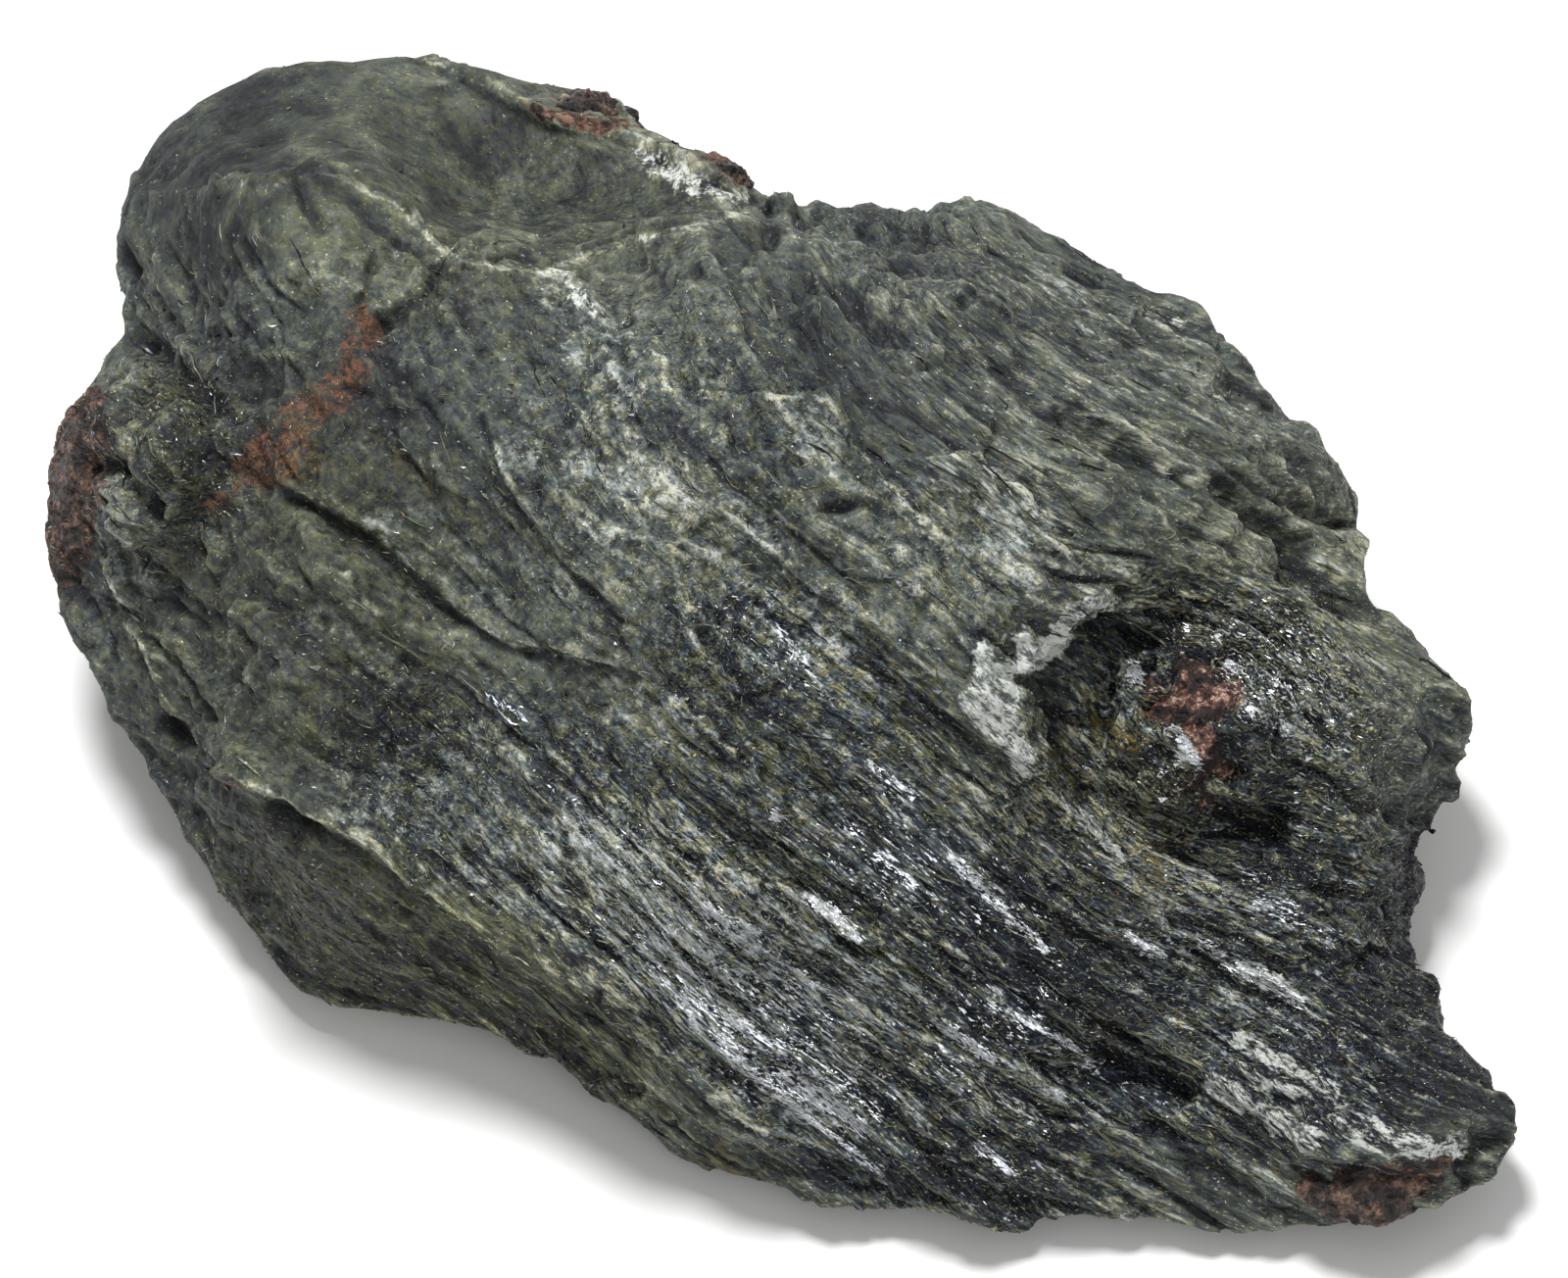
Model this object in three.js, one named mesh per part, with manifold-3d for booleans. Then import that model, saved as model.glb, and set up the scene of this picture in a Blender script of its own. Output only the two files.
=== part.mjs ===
// Garnet in fuchsite: a hand specimen of green mica schist that holds red-brown garnets.
// Millimetres, +Z up. The stone lies on the flat parting face under it, at z = 0, with the
// middle of its box over the origin.

import * as THREE from 'three';
import { ConvexGeometry } from 'three/addons/geometries/ConvexGeometry.js';
import { ImprovedNoise } from 'three/addons/math/ImprovedNoise.js';
import { mergeVertices } from 'three/addons/utils/BufferGeometryUtils.js';
import Module from 'manifold-3d';

// ---------------------------------------------------------------------------------------------
// Layout. Points of the stone are set out on a sloping plane that faces front and up: u runs
// along +X and v up the slope. Sight lines run from each point of that plane to a station in
// front of it, and a point of the surface lies on its sight line at its own height z.

const SLOPE_NORMAL_ELEVATION = 50;
const STATION_DISTANCE = 420;
const LAYOUT_MIDDLE = new THREE.Vector3(0.65, -5.1, 16);

// The edge all round, clockwise from the notch in the left side, as [u, v, z].
const EDGE = [
  [-33.5, 16, 14], [-34.4, 20.4, 16], [-33.1, 24.8, 17.5], [-31.2, 27, 18.5], [-28.8, 28.2, 19],
  [-26.7, 29.8, 20], [-22.8, 30, 20], [-20.1, 30.4, 20], [-17.6, 29.9, 20], [-15.6, 28.8, 20],
  [-12.9, 28.6, 19.5], [-10.8, 28.4, 19.5], [-7.8, 27, 20], [-5.1, 25.3, 20.5], [-3.4, 25.1, 20.5],
  [-2.3, 24, 20.5], [-0.5, 22.1, 20], [2.2, 22.4, 17], [4.1, 22, 16.5], [8, 22.7, 15],
  [11, 22.4, 14.5], [13.1, 21.5, 14], [15.1, 20.2, 13.5], [17.5, 18.9, 13], [18.8, 17.4, 13],
  [21, 16.6, 12.5], [22.4, 15.6, 12], [25.3, 12.7, 11.5], [27.5, 11.2, 10.5], [28.6, 9.6, 10],
  [28.6, 8.6, 10], [29.6, 7.3, 9.5], [29.6, 5.4, 9], [30.7, 1.6, 9], [31.8, -0.6, 9.5],
  [34.1, -2.1, 10], [35.5, -3.5, 10], [35.8, -4.5, 9], [35.1, -5.3, 7.5], [34.8, -7.7, 6],
  [35.1, -8.4, 6], [34.3, -9, 5.5], [33.5, -10.8, 5], [33.8, -11.6, 5], [32.9, -12.9, 4.5],
  [32.8, -15.4, 4], [34, -19.1, 4], [35.4, -21, 4.5], [37.2, -22.6, 5], [38, -24.5, 5],
  [37.9, -26.4, 4.5], [36.9, -27.9, 3.5], [34.7, -29.2, 3], [31.1, -30.2, 2.5], [28, -30.5, 2],
  [25.5, -30.7, 1.5], [22, -31, 1.5], [19.1, -30.6, 1.5], [17.2, -29.7, 2], [14, -30.4, 1.5],
  [10.2, -30.4, 1.5], [8, -29.7, 2], [4.2, -29, 2], [0.7, -29, 1.8], [-0.3, -28.4, 2],
  [-3.8, -28.2, 1.8], [-6, -27.7, 2], [-6.5, -26.8, 2.3], [-8.4, -24.1, 3], [-11.6, -21.9, 3],
  [-13.8, -21, 2.6], [-16.2, -19.7, 3], [-18, -19.9, 2], [-22.1, -19.3, 2], [-25, -18.3, 2.8],
  [-27.7, -14.3, 4.5], [-29.6, -12.1, 5], [-31.5, -9.4, 5.5], [-33.3, -6.3, 7], [-34.7, -3.9, 8.3],
  [-35.6, -1.8, 9], [-36.2, 0.5, 9.5], [-37.1, 1.5, 9.8], [-37.6, 3.6, 10.7], [-38, 6.8, 12],
  [-37.3, 9.7, 13], [-37, 12.1, 13.5], [-36.1, 13.2, 14], [-34.4, 15.1, 14.3],
];

// Heights of the face inside the edge, as [u, v, z], from the left end to the right end.
const HEIGHTS = [
  [-30, 22.6, 24], [-31.5, 17.6, 19.5], [-32.5, 10.6, 20], [-33.5, 2.6, 15], [-32.5, -3.4, 11],
  [-28.5, 16.1, 24], [-28, 6.6, 22.5], [-29, 0.1, 18], [-28.3, -6.9, 14],
  [-25, 26.6, 25], [-25, 21.6, 29], [-25, 12.6, 27.5], [-25, 5.1, 24.5], [-25, -2.4, 19.8],
  [-25, -8.9, 15.6],
  [-17.5, 26.6, 22.6], [-17.5, 21.6, 23.8], [-17.5, 18.8, 29.5], [-17.5, 12.6, 30],
  [-17.5, 5.1, 25.8], [-17.5, -2.4, 20.2], [-17.5, -8.4, 15.6], [-17.5, -13.7, 11.6],
  [-13.5, 23, 22], [-13.5, 18.9, 29],
  [-10, 26.2, 23.5], [-10, 22.4, 22.2], [-10, 19.2, 28.5], [-10, 15.1, 31], [-10, 10.1, 31],
  [-10, 2.6, 27], [-10, -4.9, 21.6], [-10, -11.4, 16.4], [-10, -16.7, 12.3],
  [-5, 24.4, 24], [-5, 22.6, 24], [-5, 20.4, 28.5], [-5, -20.9, 9.8],
  [0, 20.4, 27.5], [0, 16.6, 31], [0, 11.1, 31.5], [0, 5.1, 28.5], [0, -2.4, 23.5],
  [0, -9.9, 18], [0, -17.4, 12.8], [0, -24.4, 6.5],
  [10, 20.9, 21.5], [10, 17.6, 26], [10, 12.6, 28], [10, 5.1, 26], [10, -2.4, 22],
  [10, -9.9, 17.5], [10, -17.4, 12], [10, -24.9, 6.5],
  [20, 14.1, 19.5], [20, 10.1, 22.5], [20, 4.6, 21.5], [20, -2.4, 18.5], [20, -10.4, 14.5],
  [20, -17.4, 10.5], [20, -24.9, 6.5],
  [25, 10.1, 16.5], [25, 2.6, 18], [25, -5.4, 16], [26, -15.4, 10],
  [30, -0.9, 13.5], [30, -6.4, 13], [30, -12.4, 9.5], [30, -19.9, 8], [30, -25.4, 7],
  [35, -23.9, 6.5],
];

// Crests and grooves that follow a line: a height over the face, and a half width.
const CRESTS = [
  { line: [[-15.5, 28.6], [-12.5, 26.9], [-10, 26.2], [-6, 24.6], [-1.5, 22.1]], height: 1.2, width: 1 },
  { line: [[-18, 19.1], [-13, 18.9], [-9, 19.5], [-4, 20.9], [-0.5, 21.4]], height: 0.9, width: 1.2 },
  { line: [[-28.8, 23.1], [-26, 23.1], [-24, 24.1], [-22, 23.4], [-20, 22.9]], height: 1.3, width: 1.1 },
  { line: [[-28.3, -7.4], [-23.5, -9.9], [-19, -12.9], [-14, -15.4], [-8, -17.9]], height: 1.4, width: 1.3 },
  { line: [[25.5, -26.4], [30, -25.6], [35, -24.6]], height: 1.2, width: 1.1 },
  { line: [[-18, 18.4], [-20.3, 16.1]], height: -1.6, width: 0.9 },
  { line: [[-23, 7.1], [-20, 4.6], [-16, 1.6]], height: -1.2, width: 1 },
  { line: [[16.5, 11.1], [19.8, 8.4]], height: -1.2, width: 0.9 },
  { line: [[22.5, 7.6], [26.5, 4.6]], height: -1.2, width: 1 },
  { line: [[24.5, 12.6], [27.5, 9.6]], height: -0.9, width: 0.9 },
  { line: [[16.3, -20.9], [20, -23.2]], height: -1.6, width: 1 },
];

// Ledges where a layer ends: the face right of the line stands higher and drops at the line.
const LEDGES = [
  { line: [[1.8, 12.6], [3, 10.6], [5, 7.6], [8, 5.6]], height: 1.5, reach: 4 },
  { line: [[9.3, 9.6], [11, 8.6], [13, 6.6]], height: 1.1, reach: 3 },
  { line: [[-5.5, 0.6], [-3, -2.4], [1.5, -5.4]], height: 1.3, reach: 4 },
  { line: [[2, 16], [8, 13.5], [14, 12], [19, 12.4]], height: 1, reach: 3 },
  { line: [[-14, 12], [-9, 9], [-5, 5]], height: 0.9, reach: 4 },
  { line: [[-2, -12], [4, -14], [9, -18]], height: 1, reach: 4 },
  { line: [[17.5, 2], [13, 0.6], [12.3, -6.4], [17.5, -11.4]], height: 1.5, reach: 3 },
];
const LEDGE_DROP = 0.8;

// Round swells and hollows of the face: middle, half widths along u and v, and a height.
const SWELLS = [
  { at: [-32.3, 10.8], half: [4.6, 4.2], height: 3.2 },
  { at: [-24.5, 21.3], half: [6, 3.4], height: 1.6 },
  { at: [19, -4.6], half: [6.8, 7], height: -5.6 },
  { at: [21.2, -4.8], half: [4.6, 4.8], height: 3.4 },
  { at: [24.5, -10], half: [4, 2], height: -2.6 },
  { at: [-31, -4.4], half: [1.3, 1.3], height: -1.8 },
  { at: [-25.3, -9.4], half: [1.5, 1.1], height: -1.8 },
  { at: [8.5, 1], half: [5, 4], height: 1 },
  { at: [29.5, -4.5], half: [3.5, 4.5], height: 1.2 },
];

// Drawn-out relief of the foliation, which runs down to the right across the face, and the
// lumps of the whole stone.
const FOLIATION_FALL = 34;
const FOLIATION = { height: 1.3, along: 18, across: 3.2, deep: 9 };
const LUMPS = { height: 0.9, size: 10 };

// The side under the edge, and the flat face that the stone rests on.
const FACE_RINGS = 28;
const FACE_CROWDING = 1.4;
const FACE_MIDDLE = [0, -1.4];
const SIDE_RINGS = 6;
const FOOT = { middle: [0, -1.5], scale: 0.72, wobble: 0.09 };
const SIDE_DROP = 0.62;
const SIDE_LEDGE = { depth: 1.3, spacing: 6.5, dip: 0.22 };
const FRONT_TO_BACK_BLEND = 6;
const EDGE_RELIEF = 0.3;

// Garnets: middle [u, v, z], distance from the middle to a crystal face, stretch and turn.
const SOCKET_GAP = 0.3;
const GARNETS = [
  {
    name: 'garnet_pocket', at: [20.8, -4.6, 15.4], size: 2.7,
    stretch: [0.95, 1.12, 1.1], turn: [20, 35, 10],
  },
  {
    name: 'garnet_left_knob', at: [-33.2, 7.2, 12.6], size: 3.8,
    stretch: [0.92, 1.15, 1], turn: [15, 20, 40],
  },
  {
    name: 'garnet_top_crest', at: [-11.2, 25.5, 19.6], size: 2.3,
    stretch: [1.4, 0.9, 1], turn: [10, 5, 25],
  },
  {
    name: 'garnet_top_bump', at: [-3.6, 23.2, 21.6], size: 1.4,
    stretch: [1.15, 0.9, 1], turn: [30, 10, 5],
  },
  {
    name: 'garnet_lower_right', at: [30, -27.6, 4.2], size: 2,
    stretch: [1.55, 0.95, 0.9], turn: [5, 8, 12],
  },
];
const GARNET_ROUGHNESS = 0.07;
const GARNET_WAVES = 1.7;
const GARNET_WAVE_SHIFT = 9;
const GARNET_CUTS = 3;

// ---------------------------------------------------------------------------------------------
// Materials

const schistMaterial = new THREE.MeshStandardMaterial({
  name: 'fuchsite_mica_schist', color: 0x6a7060, roughness: 0.55, metalness: 0,
});
const garnetMaterial = new THREE.MeshStandardMaterial({
  name: 'almandine_garnet', color: 0x7a3f33, roughness: 0.6, metalness: 0,
});

// ---------------------------------------------------------------------------------------------
// Layout geometry

const slopeAngle = THREE.MathUtils.degToRad(SLOPE_NORMAL_ELEVATION);
const slopeNormal = new THREE.Vector3(0, -Math.cos(slopeAngle), Math.sin(slopeAngle));
const slopeUp = new THREE.Vector3(0, Math.sin(slopeAngle), Math.cos(slopeAngle));
const station = LAYOUT_MIDDLE.clone().addScaledVector(slopeNormal, STATION_DISTANCE);

// The point at height z on the sight line through (u, v).
function setOut(u, v, z) {
  const onPlane = LAYOUT_MIDDLE.clone().addScaledVector(slopeUp, v);
  onPlane.x += u;
  const share = (z - station.z) / (onPlane.z - station.z);
  return station.clone().lerp(onPlane, share);
}

// Where the ray from the middle of the face at this angle meets the edge, as [u, v, z].
function edgeAt(angle) {
  const [middleU, middleV] = FACE_MIDDLE;
  const du = Math.cos(angle);
  const dv = Math.sin(angle);
  for (let i = 0; i < EDGE.length; i += 1) {
    const [u0, v0, z0] = EDGE[i];
    const [u1, v1, z1] = EDGE[(i + 1) % EDGE.length];
    const side0 = du * (v0 - middleV) - dv * (u0 - middleU);
    const side1 = du * (v1 - middleV) - dv * (u1 - middleU);
    const share = side0 / (side0 - side1);
    const u = u0 + share * (u1 - u0);
    const v = v0 + share * (v1 - v0);
    const ahead = du * (u - middleU) + dv * (v - middleV) > 0;
    if (side0 * side1 <= 0 && side0 !== side1 && ahead) {
      return [u, v, z0 + share * (z1 - z0)];
    }
  }
  throw new Error(`no edge at angle ${angle}`);
}

// ---------------------------------------------------------------------------------------------
// Relief of the face

// Gaussian elimination with row swaps, for the smooth sheet below.
function solveLinear(rows, values) {
  const n = values.length;
  const m = rows.map((row, i) => [...row, values[i]]);
  for (let column = 0; column < n; column += 1) {
    let best = column;
    for (let r = column + 1; r < n; r += 1) {
      if (Math.abs(m[r][column]) > Math.abs(m[best][column])) {
        best = r;
      }
    }
    [m[column], m[best]] = [m[best], m[column]];
    for (let r = column + 1; r < n; r += 1) {
      const factor = m[r][column] / m[column][column];
      for (let c = column; c <= n; c += 1) {
        m[r][c] -= factor * m[column][c];
      }
    }
  }
  const solution = new Array(n).fill(0);
  for (let r = n - 1; r >= 0; r -= 1) {
    let sum = m[r][n];
    for (let c = r + 1; c < n; c += 1) {
      sum -= m[r][c] * solution[c];
    }
    solution[r] = sum / m[r][r];
  }
  return solution;
}

const bending = (distance) => (distance > 0 ? distance * distance * Math.log(distance) : 0);

// A thin bent sheet through all the knots [u, v, z]: returns its height as a function.
function bentSheet(knots) {
  const rows = knots.map(([u, v]) => [
    ...knots.map(([ku, kv]) => bending(Math.hypot(u - ku, v - kv))), 1, u, v,
  ]);
  const zeros = [0, 0, 0];
  rows.push([...knots.map(() => 1), ...zeros]);
  rows.push([...knots.map(([u]) => u), ...zeros]);
  rows.push([...knots.map(([, v]) => v), ...zeros]);
  const weights = solveLinear(rows, [...knots.map(([, , z]) => z), ...zeros]);
  const [level, alongU, alongV] = weights.slice(knots.length);
  return (u, v) => knots.reduce(
    (sum, [ku, kv], i) => sum + weights[i] * bending(Math.hypot(u - ku, v - kv)),
    level + alongU * u + alongV * v,
  );
}

// Distance from (u, v) to a line of points, and the side: positive to the right of its run.
function lineOffset(line, u, v) {
  let best = { distance: Infinity, side: 1 };
  for (let i = 0; i + 1 < line.length; i += 1) {
    const [u0, v0] = line[i];
    const [u1, v1] = line[i + 1];
    const runU = u1 - u0;
    const runV = v1 - v0;
    const share = ((u - u0) * runU + (v - v0) * runV) / (runU * runU + runV * runV);
    const held = THREE.MathUtils.clamp(share, 0, 1);
    const distance = Math.hypot(u - u0 - held * runU, v - v0 - held * runV);
    if (distance < best.distance) {
      const side = (u - u0) * runV - (v - v0) * runU >= 0 ? 1 : -1;
      best = { distance, side };
    }
  }
  return best;
}

function crestRelief({ line, height, width }, u, v) {
  const { distance } = lineOffset(line, u, v);
  return height * Math.exp(-((distance / width) ** 2));
}

function ledgeRelief({ line, height, reach }, u, v) {
  const { distance, side } = lineOffset(line, u, v);
  const step = THREE.MathUtils.smoothstep(side * distance, -LEDGE_DROP / 2, LEDGE_DROP / 2);
  return height * step * Math.exp(-distance / reach);
}

function swellRelief({ at, half, height }, u, v) {
  const away = Math.hypot((u - at[0]) / half[0], (v - at[1]) / half[1]);
  return height * Math.exp(-(away ** 3));
}

const sum = (items, height) => items.reduce((total, item) => total + height(item), 0);

const faceSheet = bentSheet([...EDGE, ...HEIGHTS]);

// Height of the face. The relief fades out at the edge, so the outline stays as set out.
function faceHeight(u, v, share) {
  const relief = sum(CRESTS, (crest) => crestRelief(crest, u, v))
    + sum(LEDGES, (ledge) => ledgeRelief(ledge, u, v))
    + sum(SWELLS, (swell) => swellRelief(swell, u, v));
  const fade = 1 - THREE.MathUtils.smoothstep(share, 0.94, 1);
  return faceSheet(u, v) + relief * fade;
}

const noise = new ImprovedNoise();
const foliationFall = THREE.MathUtils.degToRad(FOLIATION_FALL);
const foliationRun = new THREE.Vector3(Math.cos(foliationFall), 0, 0)
  .addScaledVector(slopeUp, -Math.sin(foliationFall));
const foliationCross = new THREE.Vector3(Math.sin(foliationFall), 0, 0)
  .addScaledVector(slopeUp, Math.cos(foliationFall));

// How far the stone's skin stands out at a point: foliation on two scales, and lumps.
function skinRelief(point) {
  const along = point.dot(foliationRun) / FOLIATION.along;
  const across = point.dot(foliationCross) / FOLIATION.across;
  const deep = point.dot(slopeNormal) / FOLIATION.deep;
  const folds = noise.noise(along, across, deep) + 0.5 * noise.noise(2 * along, 2 * across, 2 * deep);
  const spot = point.clone().divideScalar(LUMPS.size);
  return FOLIATION.height * folds + LUMPS.height * noise.noise(spot.x, spot.y, spot.z);
}

// ---------------------------------------------------------------------------------------------
// Solids

// Joins two closed rings of vertex indices, of any two counts, with triangles.
function stitch(inner, outer, triangles) {
  let i = 0;
  let o = 0;
  while (i < inner.length || o < outer.length) {
    const stepOuter = i >= inner.length
      || (o < outer.length && (o + 0.5) / outer.length <= (i + 0.5) / inner.length);
    const fromInner = inner[i % inner.length];
    const fromOuter = outer[o % outer.length];
    if (stepOuter) {
      triangles.push(fromInner, fromOuter, outer[(o + 1) % outer.length]);
      o += 1;
    } else {
      triangles.push(fromInner, fromOuter, inner[(i + 1) % inner.length]);
      i += 1;
    }
  }
}

function meshGeometry(positions, triangles) {
  const geometry = new THREE.BufferGeometry();
  geometry.setAttribute('position', new THREE.Float32BufferAttribute(positions, 3));
  geometry.setIndex(triangles);
  return geometry;
}

// A point of the side: from the edge down and back to the foot, stepped by the layers.
function sidePoint(edgePoint, angle, v, share) {
  const [footX, footY] = FOOT.middle;
  const scale = FOOT.scale + FOOT.wobble * noise.noise(2 * Math.cos(angle), 2 * Math.sin(angle), 3.5);
  const foot = new THREE.Vector3(
    footX + scale * (edgePoint.x - footX), footY + scale * (edgePoint.y - footY), 0,
  );
  const back = THREE.MathUtils.smoothstep(v, -FRONT_TO_BACK_BLEND, FRONT_TO_BACK_BLEND);
  const drop = new THREE.Vector3(0, 0, -SIDE_DROP * edgePoint.z);
  drop.y = (1 - back) * SIDE_DROP * edgePoint.z / Math.tan(slopeAngle);
  const bend = new THREE.QuadraticBezierCurve3(edgePoint, edgePoint.clone().add(drop), foot);
  const point = bend.getPoint(share);
  const outward = new THREE.Vector3(edgePoint.x - footX, edgePoint.y - footY, 0).normalize();
  const layer = (point.z + SIDE_LEDGE.dip * point.x) / SIDE_LEDGE.spacing;
  const ledge = -SIDE_LEDGE.depth * (layer - Math.floor(layer)) * Math.sin(Math.PI * share);
  return point.addScaledVector(outward, ledge * THREE.MathUtils.smoothstep(point.z, 0, 5));
}

// Moves every point along the skin's normal by the relief. The foot stays flat, and the edge
// moves less than the rest, so that it keeps its outline.
function roughen(geometry, edgeRing) {
  geometry.computeVertexNormals();
  const position = geometry.getAttribute('position');
  const normals = geometry.getAttribute('normal');
  const onEdge = new Set(edgeRing);
  const point = new THREE.Vector3();
  const normal = new THREE.Vector3();
  for (let i = 0; i < position.count; i += 1) {
    point.fromBufferAttribute(position, i);
    normal.fromBufferAttribute(normals, i);
    const lift = THREE.MathUtils.smoothstep(point.z, 0.2, 3) * (onEdge.has(i) ? EDGE_RELIEF : 1);
    point.addScaledVector(normal, lift * skinRelief(point));
    position.setXYZ(i, point.x, point.y, point.z);
  }
}

function schistGeometry() {
  const positions = [];
  const triangles = [];
  const addPoint = ({ x, y, z }) => positions.push(x, y, z) / 3 - 1;
  const [middleU, middleV] = FACE_MIDDLE;
  const ringCount = (ring) => 6 * ring;

  let inner = [addPoint(setOut(middleU, middleV, faceHeight(middleU, middleV, 0)))];
  for (let ring = 1; ring <= FACE_RINGS; ring += 1) {
    const outer = [];
    const share = 1 - (1 - ring / FACE_RINGS) ** FACE_CROWDING;
    for (let i = 0; i < ringCount(ring); i += 1) {
      const [edgeU, edgeV] = edgeAt((2 * Math.PI * i) / ringCount(ring));
      const u = middleU + share * (edgeU - middleU);
      const v = middleV + share * (edgeV - middleV);
      outer.push(addPoint(setOut(u, v, faceHeight(u, v, share))));
    }
    if (ring === 1) {
      outer.forEach((index, i) => triangles.push(inner[0], index, outer[(i + 1) % outer.length]));
    } else {
      stitch(inner, outer, triangles);
    }
    inner = outer;
  }

  const edgeRing = inner;
  const edgePoints = edgeRing.map((index) => new THREE.Vector3().fromArray(positions, 3 * index));
  for (let ring = 1; ring <= SIDE_RINGS; ring += 1) {
    const outer = edgePoints.map((point, i) => {
      const angle = (2 * Math.PI * i) / edgeRing.length;
      const [, v] = edgeAt(angle);
      return addPoint(sidePoint(point, angle, v, ring / SIDE_RINGS));
    });
    stitch(inner, outer, triangles);
    inner = outer;
  }

  const foot = inner.map((index) => new THREE.Vector2(positions[3 * index], positions[3 * index + 1]));
  for (const [a, b, c] of THREE.ShapeUtils.triangulateShape(foot, [])) {
    triangles.push(inner[a], inner[c], inner[b]);
  }
  const geometry = meshGeometry(positions, triangles);
  roughen(geometry, edgeRing);
  return geometry;
}

// A crystal of twelve rhombic faces, cut finer and roughened, about the origin.
function garnetGeometry({ size, stretch, turn }, order) {
  const corner = size / Math.SQRT2;
  const points = [];
  for (const x of [-corner, corner]) {
    for (const y of [-corner, corner]) {
      for (const z of [-corner, corner]) {
        points.push(new THREE.Vector3(x, y, z));
      }
    }
  }
  for (const tip of [-2 * corner, 2 * corner]) {
    points.push(new THREE.Vector3(tip, 0, 0), new THREE.Vector3(0, tip, 0), new THREE.Vector3(0, 0, tip));
  }
  const crystal = cutFiner(new ConvexGeometry(points), GARNET_CUTS);
  const position = crystal.getAttribute('position');
  const point = new THREE.Vector3();
  for (let i = 0; i < position.count; i += 1) {
    point.fromBufferAttribute(position, i);
    const spot = point.clone().multiplyScalar(GARNET_WAVES / size);
    const wave = noise.noise(spot.x, spot.y, spot.z + GARNET_WAVE_SHIFT * order);
    point.multiplyScalar(1 + GARNET_ROUGHNESS * wave);
    position.setXYZ(i, point.x, point.y, point.z);
  }
  crystal.scale(...stretch);
  const [turnX, turnY, turnZ] = turn.map(THREE.MathUtils.degToRad);
  crystal.applyMatrix4(new THREE.Matrix4().makeRotationFromEuler(new THREE.Euler(turnX, turnY, turnZ)));
  return crystal;
}

// Splits each triangle into cuts x cuts smaller ones and merges the shared points.
function cutFiner(geometry, cuts) {
  const source = geometry.index ? geometry.toNonIndexed() : geometry;
  const corners = source.getAttribute('position');
  const positions = [];
  const at = (a, b, c, i, j) => a.clone()
    .addScaledVector(b.clone().sub(a), i / cuts)
    .addScaledVector(c.clone().sub(a), j / cuts)
    .toArray();
  for (let t = 0; t < corners.count; t += 3) {
    const [a, b, c] = [0, 1, 2].map((k) => new THREE.Vector3().fromBufferAttribute(corners, t + k));
    for (let i = 0; i < cuts; i += 1) {
      for (let j = 0; i + j < cuts; j += 1) {
        positions.push(...at(a, b, c, i, j), ...at(a, b, c, i + 1, j), ...at(a, b, c, i, j + 1));
        if (i + j + 1 < cuts) {
          positions.push(...at(a, b, c, i + 1, j), ...at(a, b, c, i + 1, j + 1), ...at(a, b, c, i, j + 1));
        }
      }
    }
  }
  const finer = new THREE.BufferGeometry();
  finer.setAttribute('position', new THREE.Float32BufferAttribute(positions, 3));
  return mergeVertices(finer);
}

// ---------------------------------------------------------------------------------------------
// Cutting the sockets

const wasm = await Module();
wasm.setup();

function toSolid(geometry) {
  return new wasm.Manifold(new wasm.Mesh({
    numProp: 3,
    vertProperties: new Float32Array(geometry.getAttribute('position').array),
    triVerts: new Uint32Array(geometry.index.array),
  }));
}

function fromSolid(solid) {
  const { vertProperties, triVerts } = solid.getMesh();
  return meshGeometry(vertProperties, [...triVerts]);
}

// ---------------------------------------------------------------------------------------------
// Assembly

const group = new THREE.Group();
let schist = toSolid(schistGeometry());

GARNETS.forEach((garnet, order) => {
  const middle = setOut(...garnet.at);
  const crystal = garnetGeometry(garnet, order);
  const shortest = garnet.size * Math.min(...garnet.stretch);
  const grown = 1 + SOCKET_GAP / (shortest * (1 - GARNET_ROUGHNESS));
  const socket = crystal.clone().scale(grown, grown, grown).translate(...middle);
  schist = schist.subtract(toSolid(socket));

  const mesh = new THREE.Mesh(crystal, garnetMaterial);
  mesh.name = garnet.name;
  mesh.position.copy(middle);
  group.add(mesh);
});

const schistMesh = new THREE.Mesh(fromSolid(schist), schistMaterial);
schistMesh.name = 'fuchsite_schist';
group.add(schistMesh);

export default group;
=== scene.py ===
"""Garnet in fuchsite: a lump of green mica schist with red-brown garnets, on a pale floor."""
import itertools
import math

import bmesh
import bpy
import numpy as np
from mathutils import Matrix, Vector
from mathutils.bvhtree import BVHTree


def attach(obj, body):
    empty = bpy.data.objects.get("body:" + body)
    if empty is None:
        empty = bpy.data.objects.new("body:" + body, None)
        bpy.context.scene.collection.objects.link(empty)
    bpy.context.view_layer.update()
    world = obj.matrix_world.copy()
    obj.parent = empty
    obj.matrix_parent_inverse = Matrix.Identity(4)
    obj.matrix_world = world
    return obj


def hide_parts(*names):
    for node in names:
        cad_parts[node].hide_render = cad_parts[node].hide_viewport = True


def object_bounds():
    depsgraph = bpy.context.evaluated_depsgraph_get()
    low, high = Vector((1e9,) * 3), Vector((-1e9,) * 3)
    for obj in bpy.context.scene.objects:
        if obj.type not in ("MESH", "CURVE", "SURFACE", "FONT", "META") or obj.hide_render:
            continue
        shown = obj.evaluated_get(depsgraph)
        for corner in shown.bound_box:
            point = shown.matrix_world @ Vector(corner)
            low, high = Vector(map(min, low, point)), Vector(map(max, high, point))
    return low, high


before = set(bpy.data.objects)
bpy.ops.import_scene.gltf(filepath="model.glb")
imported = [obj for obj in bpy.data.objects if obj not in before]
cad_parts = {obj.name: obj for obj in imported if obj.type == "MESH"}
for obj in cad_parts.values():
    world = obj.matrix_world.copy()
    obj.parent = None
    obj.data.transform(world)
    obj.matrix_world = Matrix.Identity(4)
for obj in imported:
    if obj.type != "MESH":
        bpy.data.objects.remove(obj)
cad_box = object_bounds()

MM = 0.001

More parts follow.
